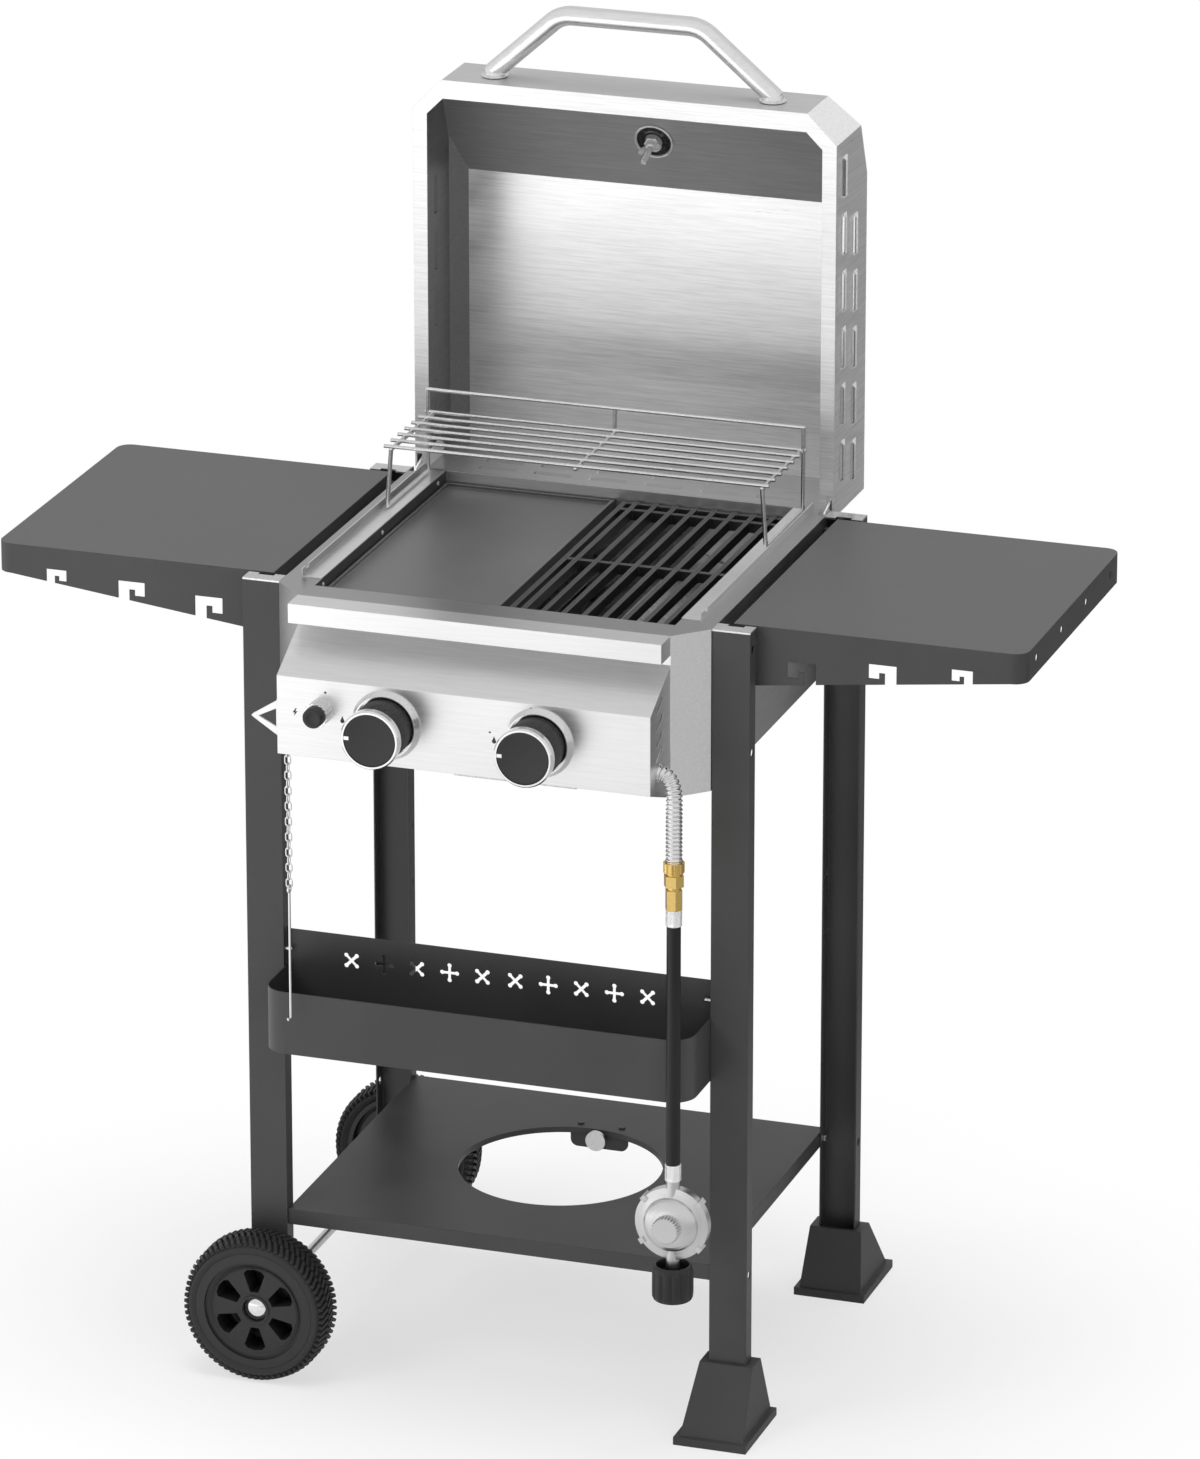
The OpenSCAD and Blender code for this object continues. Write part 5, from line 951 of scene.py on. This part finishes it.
# back of the thermometer, inside the lid
dialFacts = {"centre": (0.0, 0.30925, 1.2141), "inward": (0.0, -0.9265, -0.3763), "sheet": 0.0012,
             "sides": 72,
             "ring": [(0.0184, 0.0001), (0.0212, 0.0001), (0.0214, 0.0008), (0.0208, 0.0018), (0.02, 0.0021),
                      (0.0192, 0.0016), (0.0184, 0.0004), (0.0184, 0.0001)],
             "dish": [(0.0094, 0.0001), (0.0183, 0.0001), (0.0183, 0.0005), (0.0125, 0.0003),
                      (0.0105, 0.0009), (0.0094, 0.0009), (0.0094, 0.0001)]}
# the nut's wings are an arc round a centre, closed at their roots
wingNutFacts = {"hub": [(0.0032, 0.0064), (0.0066, 0.0064), (0.0062, 0.0095), (0.0048, 0.0118),
                        (0.0032, 0.0122), (0.0032, 0.0064)],
                "hubSides": 40, "turns": (18, 198), "thick": 0.0018, "centre": (0.0088, 0.0142),
                "reach": (0.0048, 0.0056), "arcStart": -0.35, "arc": 1.15, "arcSteps": 16,
                "root": [(0.0042, 0.0118), (0.0042, 0.0072), (0.0066, 0.0066)]}
# painted reflection: the dish behind the dial is coloured near black, standing in for the dark cooking
# surfaces its polished steel would mirror
dialPaintedReflection = brushedMetal("dialPaintedReflection", grey(0.03), grey(0.12), 0.25, lines=300.0, reach=300.0)


def dialPlace():
    f = dialFacts
    inward = Vector(f["inward"]).normalized()
    across = Vector((1, 0, 0))
    basis = Matrix((across, inward.cross(across), inward)).transposed().to_4x4()
    return Matrix.Translation(f["centre"]) @ basis @ Matrix.Translation((0, 0, f["sheet"]))


def wingOutline():
    f = wingNutFacts
    outline = []
    for k in range(f["arcSteps"] + 1):
        angle = math.pi * (f["arc"] * k / f["arcSteps"] + f["arcStart"])
        outline.append((f["centre"][0] + f["reach"][0] * math.cos(angle),
                        f["centre"][1] + f["reach"][1] * math.sin(angle)))
    return outline + f["root"]


def makeWingNut(place):
    f = wingNutFacts
    bm = bmesh.new()
    addLathe(bm, f["hub"], f["hubSides"], place)
    for turn in f["turns"]:
        spin = Matrix.Rotation(math.radians(turn), 4, "Z") @ Matrix.Rotation(math.pi / 2, 4, "X")
        addPrism(bm, wingOutline(), f["thick"], place @ spin @ Matrix.Translation((0, 0, -f["thick"] / 2)))
    finishPiece(shadeSmooth(meshObject("wingNut", bm), 40), "lid", brightSteel)


def makeDialBack():
    f = dialFacts
    rounds = (("dialRing", f["ring"], brightSteel), ("dialDish", f["dish"], dialPaintedReflection))
    for name, profile, material in rounds:
        bm = bmesh.new()
        addLathe(bm, profile, f["sides"], dialPlace())
        finishPiece(shadeSmooth(meshObject(name, bm), 40), "lid", material)
    makeWingNut(dialPlace())


makeDialBack()
print("Thermometer back made")


# screws on the cooking opening's skirt
skirtScrewFacts = {"x": 0.1919, "z": 0.8605, "places": (-0.175, 0.0, 0.17), "radius": 0.0027, "rise": 0.0012,
                   "sides": 20, "headShares": [(0, 0), (1, 0), (1, 0.3), (0.8, 0.8), (0.5, 1), (0.28, 1),
                                               (0.2, 0.6), (0, 0.6)]}


def makeSkirtScrews():
    f = skirtScrewFacts
    head = [(f["radius"] * across, f["rise"] * out) for across, out in f["headShares"]]
    bm = bmesh.new()
    for side in (-1, 1):
        turn = Matrix.Rotation(-side * math.pi / 2, 4, "Y")
        for y in f["places"]:
            addLathe(bm, head, f["sides"], Matrix.Translation((side * f["x"], y, f["z"])) @ turn)
    screws = shadeSmooth(meshObject("skirtScrews", bm), 40)
    finishPiece(screws, "cart", slotMaterials["bare_steel"])


makeSkirtScrews()
print("Skirt screws made")


# studio
# a fade is the place where it starts and ends, then the level at its start and end
studio = {"floorSize": 40.0, "floorTone": 0.9, "worldTone": 0.35, "shadowFade": (0.35, 1.2, 0.64, 1.0),
          "glowAcross": (-1.0, 0.3, 1.24, 0.5), "glowDeep": (-0.3, 1.2, 1.0, 0.34),
          "glowAhead": (-2.9, -2.3, 1.5, 1.0), "sheenDepth": (-0.3, 0.6, 0.8, 0.66),
          "sheenRise": (0.3, 0.85, 1.0, 0.97), "aim": (0, 0, 0.8),
          "lamps": [("keyLamp", (-3.4, -4.2, 4.6), 2.6, 105.0), ("fillLamp", (4.2, -3.4, 2.6), 2.4, 32.0),
                    ("topLamp", (0.1, 0.1, 4.6), 3.0, 185.0)]}


def anyOf(tree, *rays):
    seen = rays[0]
    for ray in rays[1:]:
        seen = mathNode(tree, "ADD", seen, ray, clamp=True)
    return seen


def makeFloor():
    mesh = bpy.data.meshes.new("studioFloor")
    s = studio["floorSize"] / 2
    mesh.from_pydata([(-s, -s, 0), (s, -s, 0), (s, s, 0), (-s, s, 0)], [], [(0, 1, 2, 3)])
    floor = bpy.data.objects.new("studioFloor", mesh)
    bpy.context.scene.collection.objects.link(floor)
    material = bpy.data.materials.new("paleFloor")
    material.use_nodes = True
    tree = material.node_tree
    tree.nodes.clear()
    output = addNode(tree, "ShaderNodeOutputMaterial")
    matt = addNode(tree, "ShaderNodeBsdfDiffuse")
    matt.inputs["Color"].default_value = grey(studio["floorTone"])
    glow = addNode(tree, "ShaderNodeEmission")
    glow.inputs["Color"].default_value = grey(1.0)
    rays = addNode(tree, "ShaderNodeLightPath").outputs
    place = addNode(tree, "ShaderNodeTexCoord")
    reach = addNode(tree, "ShaderNodeVectorMath", operation="LENGTH")
    feed(tree, reach.inputs[0], place.outputs["Object"])
    fade = rangeNode(tree, reach.outputs["Value"], *studio["shadowFade"], smooth=True)
    split = addNode(tree, "ShaderNodeSeparateXYZ")
    feed(tree, split.inputs[0], place.outputs["Object"])
    # metal sees a floor that is brightest ahead, and darkens towards the back and the right of the room
    across = rangeNode(tree, split.outputs[0], *studio["glowAcross"])
    deep = rangeNode(tree, split.outputs[1], *studio["glowDeep"], smooth=True)
    ahead = rangeNode(tree, split.outputs[1], *studio["glowAhead"], smooth=True)
    graded = product(tree, across, deep, ahead)
    feed(tree, glow.inputs["Strength"], mixValue(tree, rays["Is Glossy Ray"], 1.0, graded))
    seen = anyOf(tree, rays["Is Camera Ray"], rays["Is Glossy Ray"], rays["Is Transmission Ray"])
    mix = addNode(tree, "ShaderNodeMixShader")
    feed(tree, mix.inputs[0], product(tree, fade, seen))
    feed(tree, mix.inputs[1], matt.outputs[0])
    feed(tree, mix.inputs[2], glow.outputs[0])
    feed(tree, output.inputs["Surface"], mix.outputs[0])
    mesh.materials.append(material)


def makeWorld():
    world = bpy.data.worlds.new("studioWorld")
    bpy.context.scene.world = world
    world.use_nodes = True
    tree = world.node_tree
    tree.nodes.clear()
    output = addNode(tree, "ShaderNodeOutputWorld")
    room = addNode(tree, "ShaderNodeBackground")
    white = addNode(tree, "ShaderNodeBackground")
    sheen = addNode(tree, "ShaderNodeBackground")
    room.inputs["Color"].default_value = grey(1.0)
    room.inputs["Strength"].default_value = studio["worldTone"]
    white.inputs["Color"].default_value = grey(1.0)
    place = addNode(tree, "ShaderNodeTexCoord")
    split = addNode(tree, "ShaderNodeSeparateXYZ")
    feed(tree, split.inputs[0], place.outputs["Generated"])
    depth = rangeNode(tree, split.outputs[1], *studio["sheenDepth"], smooth=True)
    rise = rangeNode(tree, split.outputs[2], *studio["sheenRise"], smooth=True)
    feed(tree, sheen.inputs["Color"], mixColour(tree, product(tree, depth, rise), grey(0.0), grey(1.0)))
    rays = addNode(tree, "ShaderNodeLightPath").outputs
    shine = addNode(tree, "ShaderNodeMixShader")
    feed(tree, shine.inputs[0], rays["Is Glossy Ray"])
    feed(tree, shine.inputs[1], room.outputs[0])
    feed(tree, shine.inputs[2], sheen.outputs[0])
    seen = addNode(tree, "ShaderNodeMixShader")
    feed(tree, seen.inputs[0], anyOf(tree, rays["Is Camera Ray"], rays["Is Transmission Ray"]))
    feed(tree, seen.inputs[1], shine.outputs[0])
    feed(tree, seen.inputs[2], white.outputs[0])
    feed(tree, output.inputs["Surface"], seen.outputs[0])


def makeLamp(name, place, size, power):
    data = bpy.data.lights.new(name, "AREA")
    data.shape = "SQUARE"
    data.size = size
    data.energy = power
    lamp = bpy.data.objects.new(name, data)
    lamp.location = place
    lamp.visible_glossy = False  # metal mirrors the room, not the lamps
    lamp.rotation_euler = (Vector(studio["aim"]) - lamp.location).to_track_quat("-Z", "Y").to_euler()
    bpy.context.scene.collection.objects.link(lamp)


makeFloor()
makeWorld()
for lamp in studio["lamps"]:
    makeLamp(*lamp)
bpy.context.scene.view_settings.view_transform = "Standard"
print("Studio made")
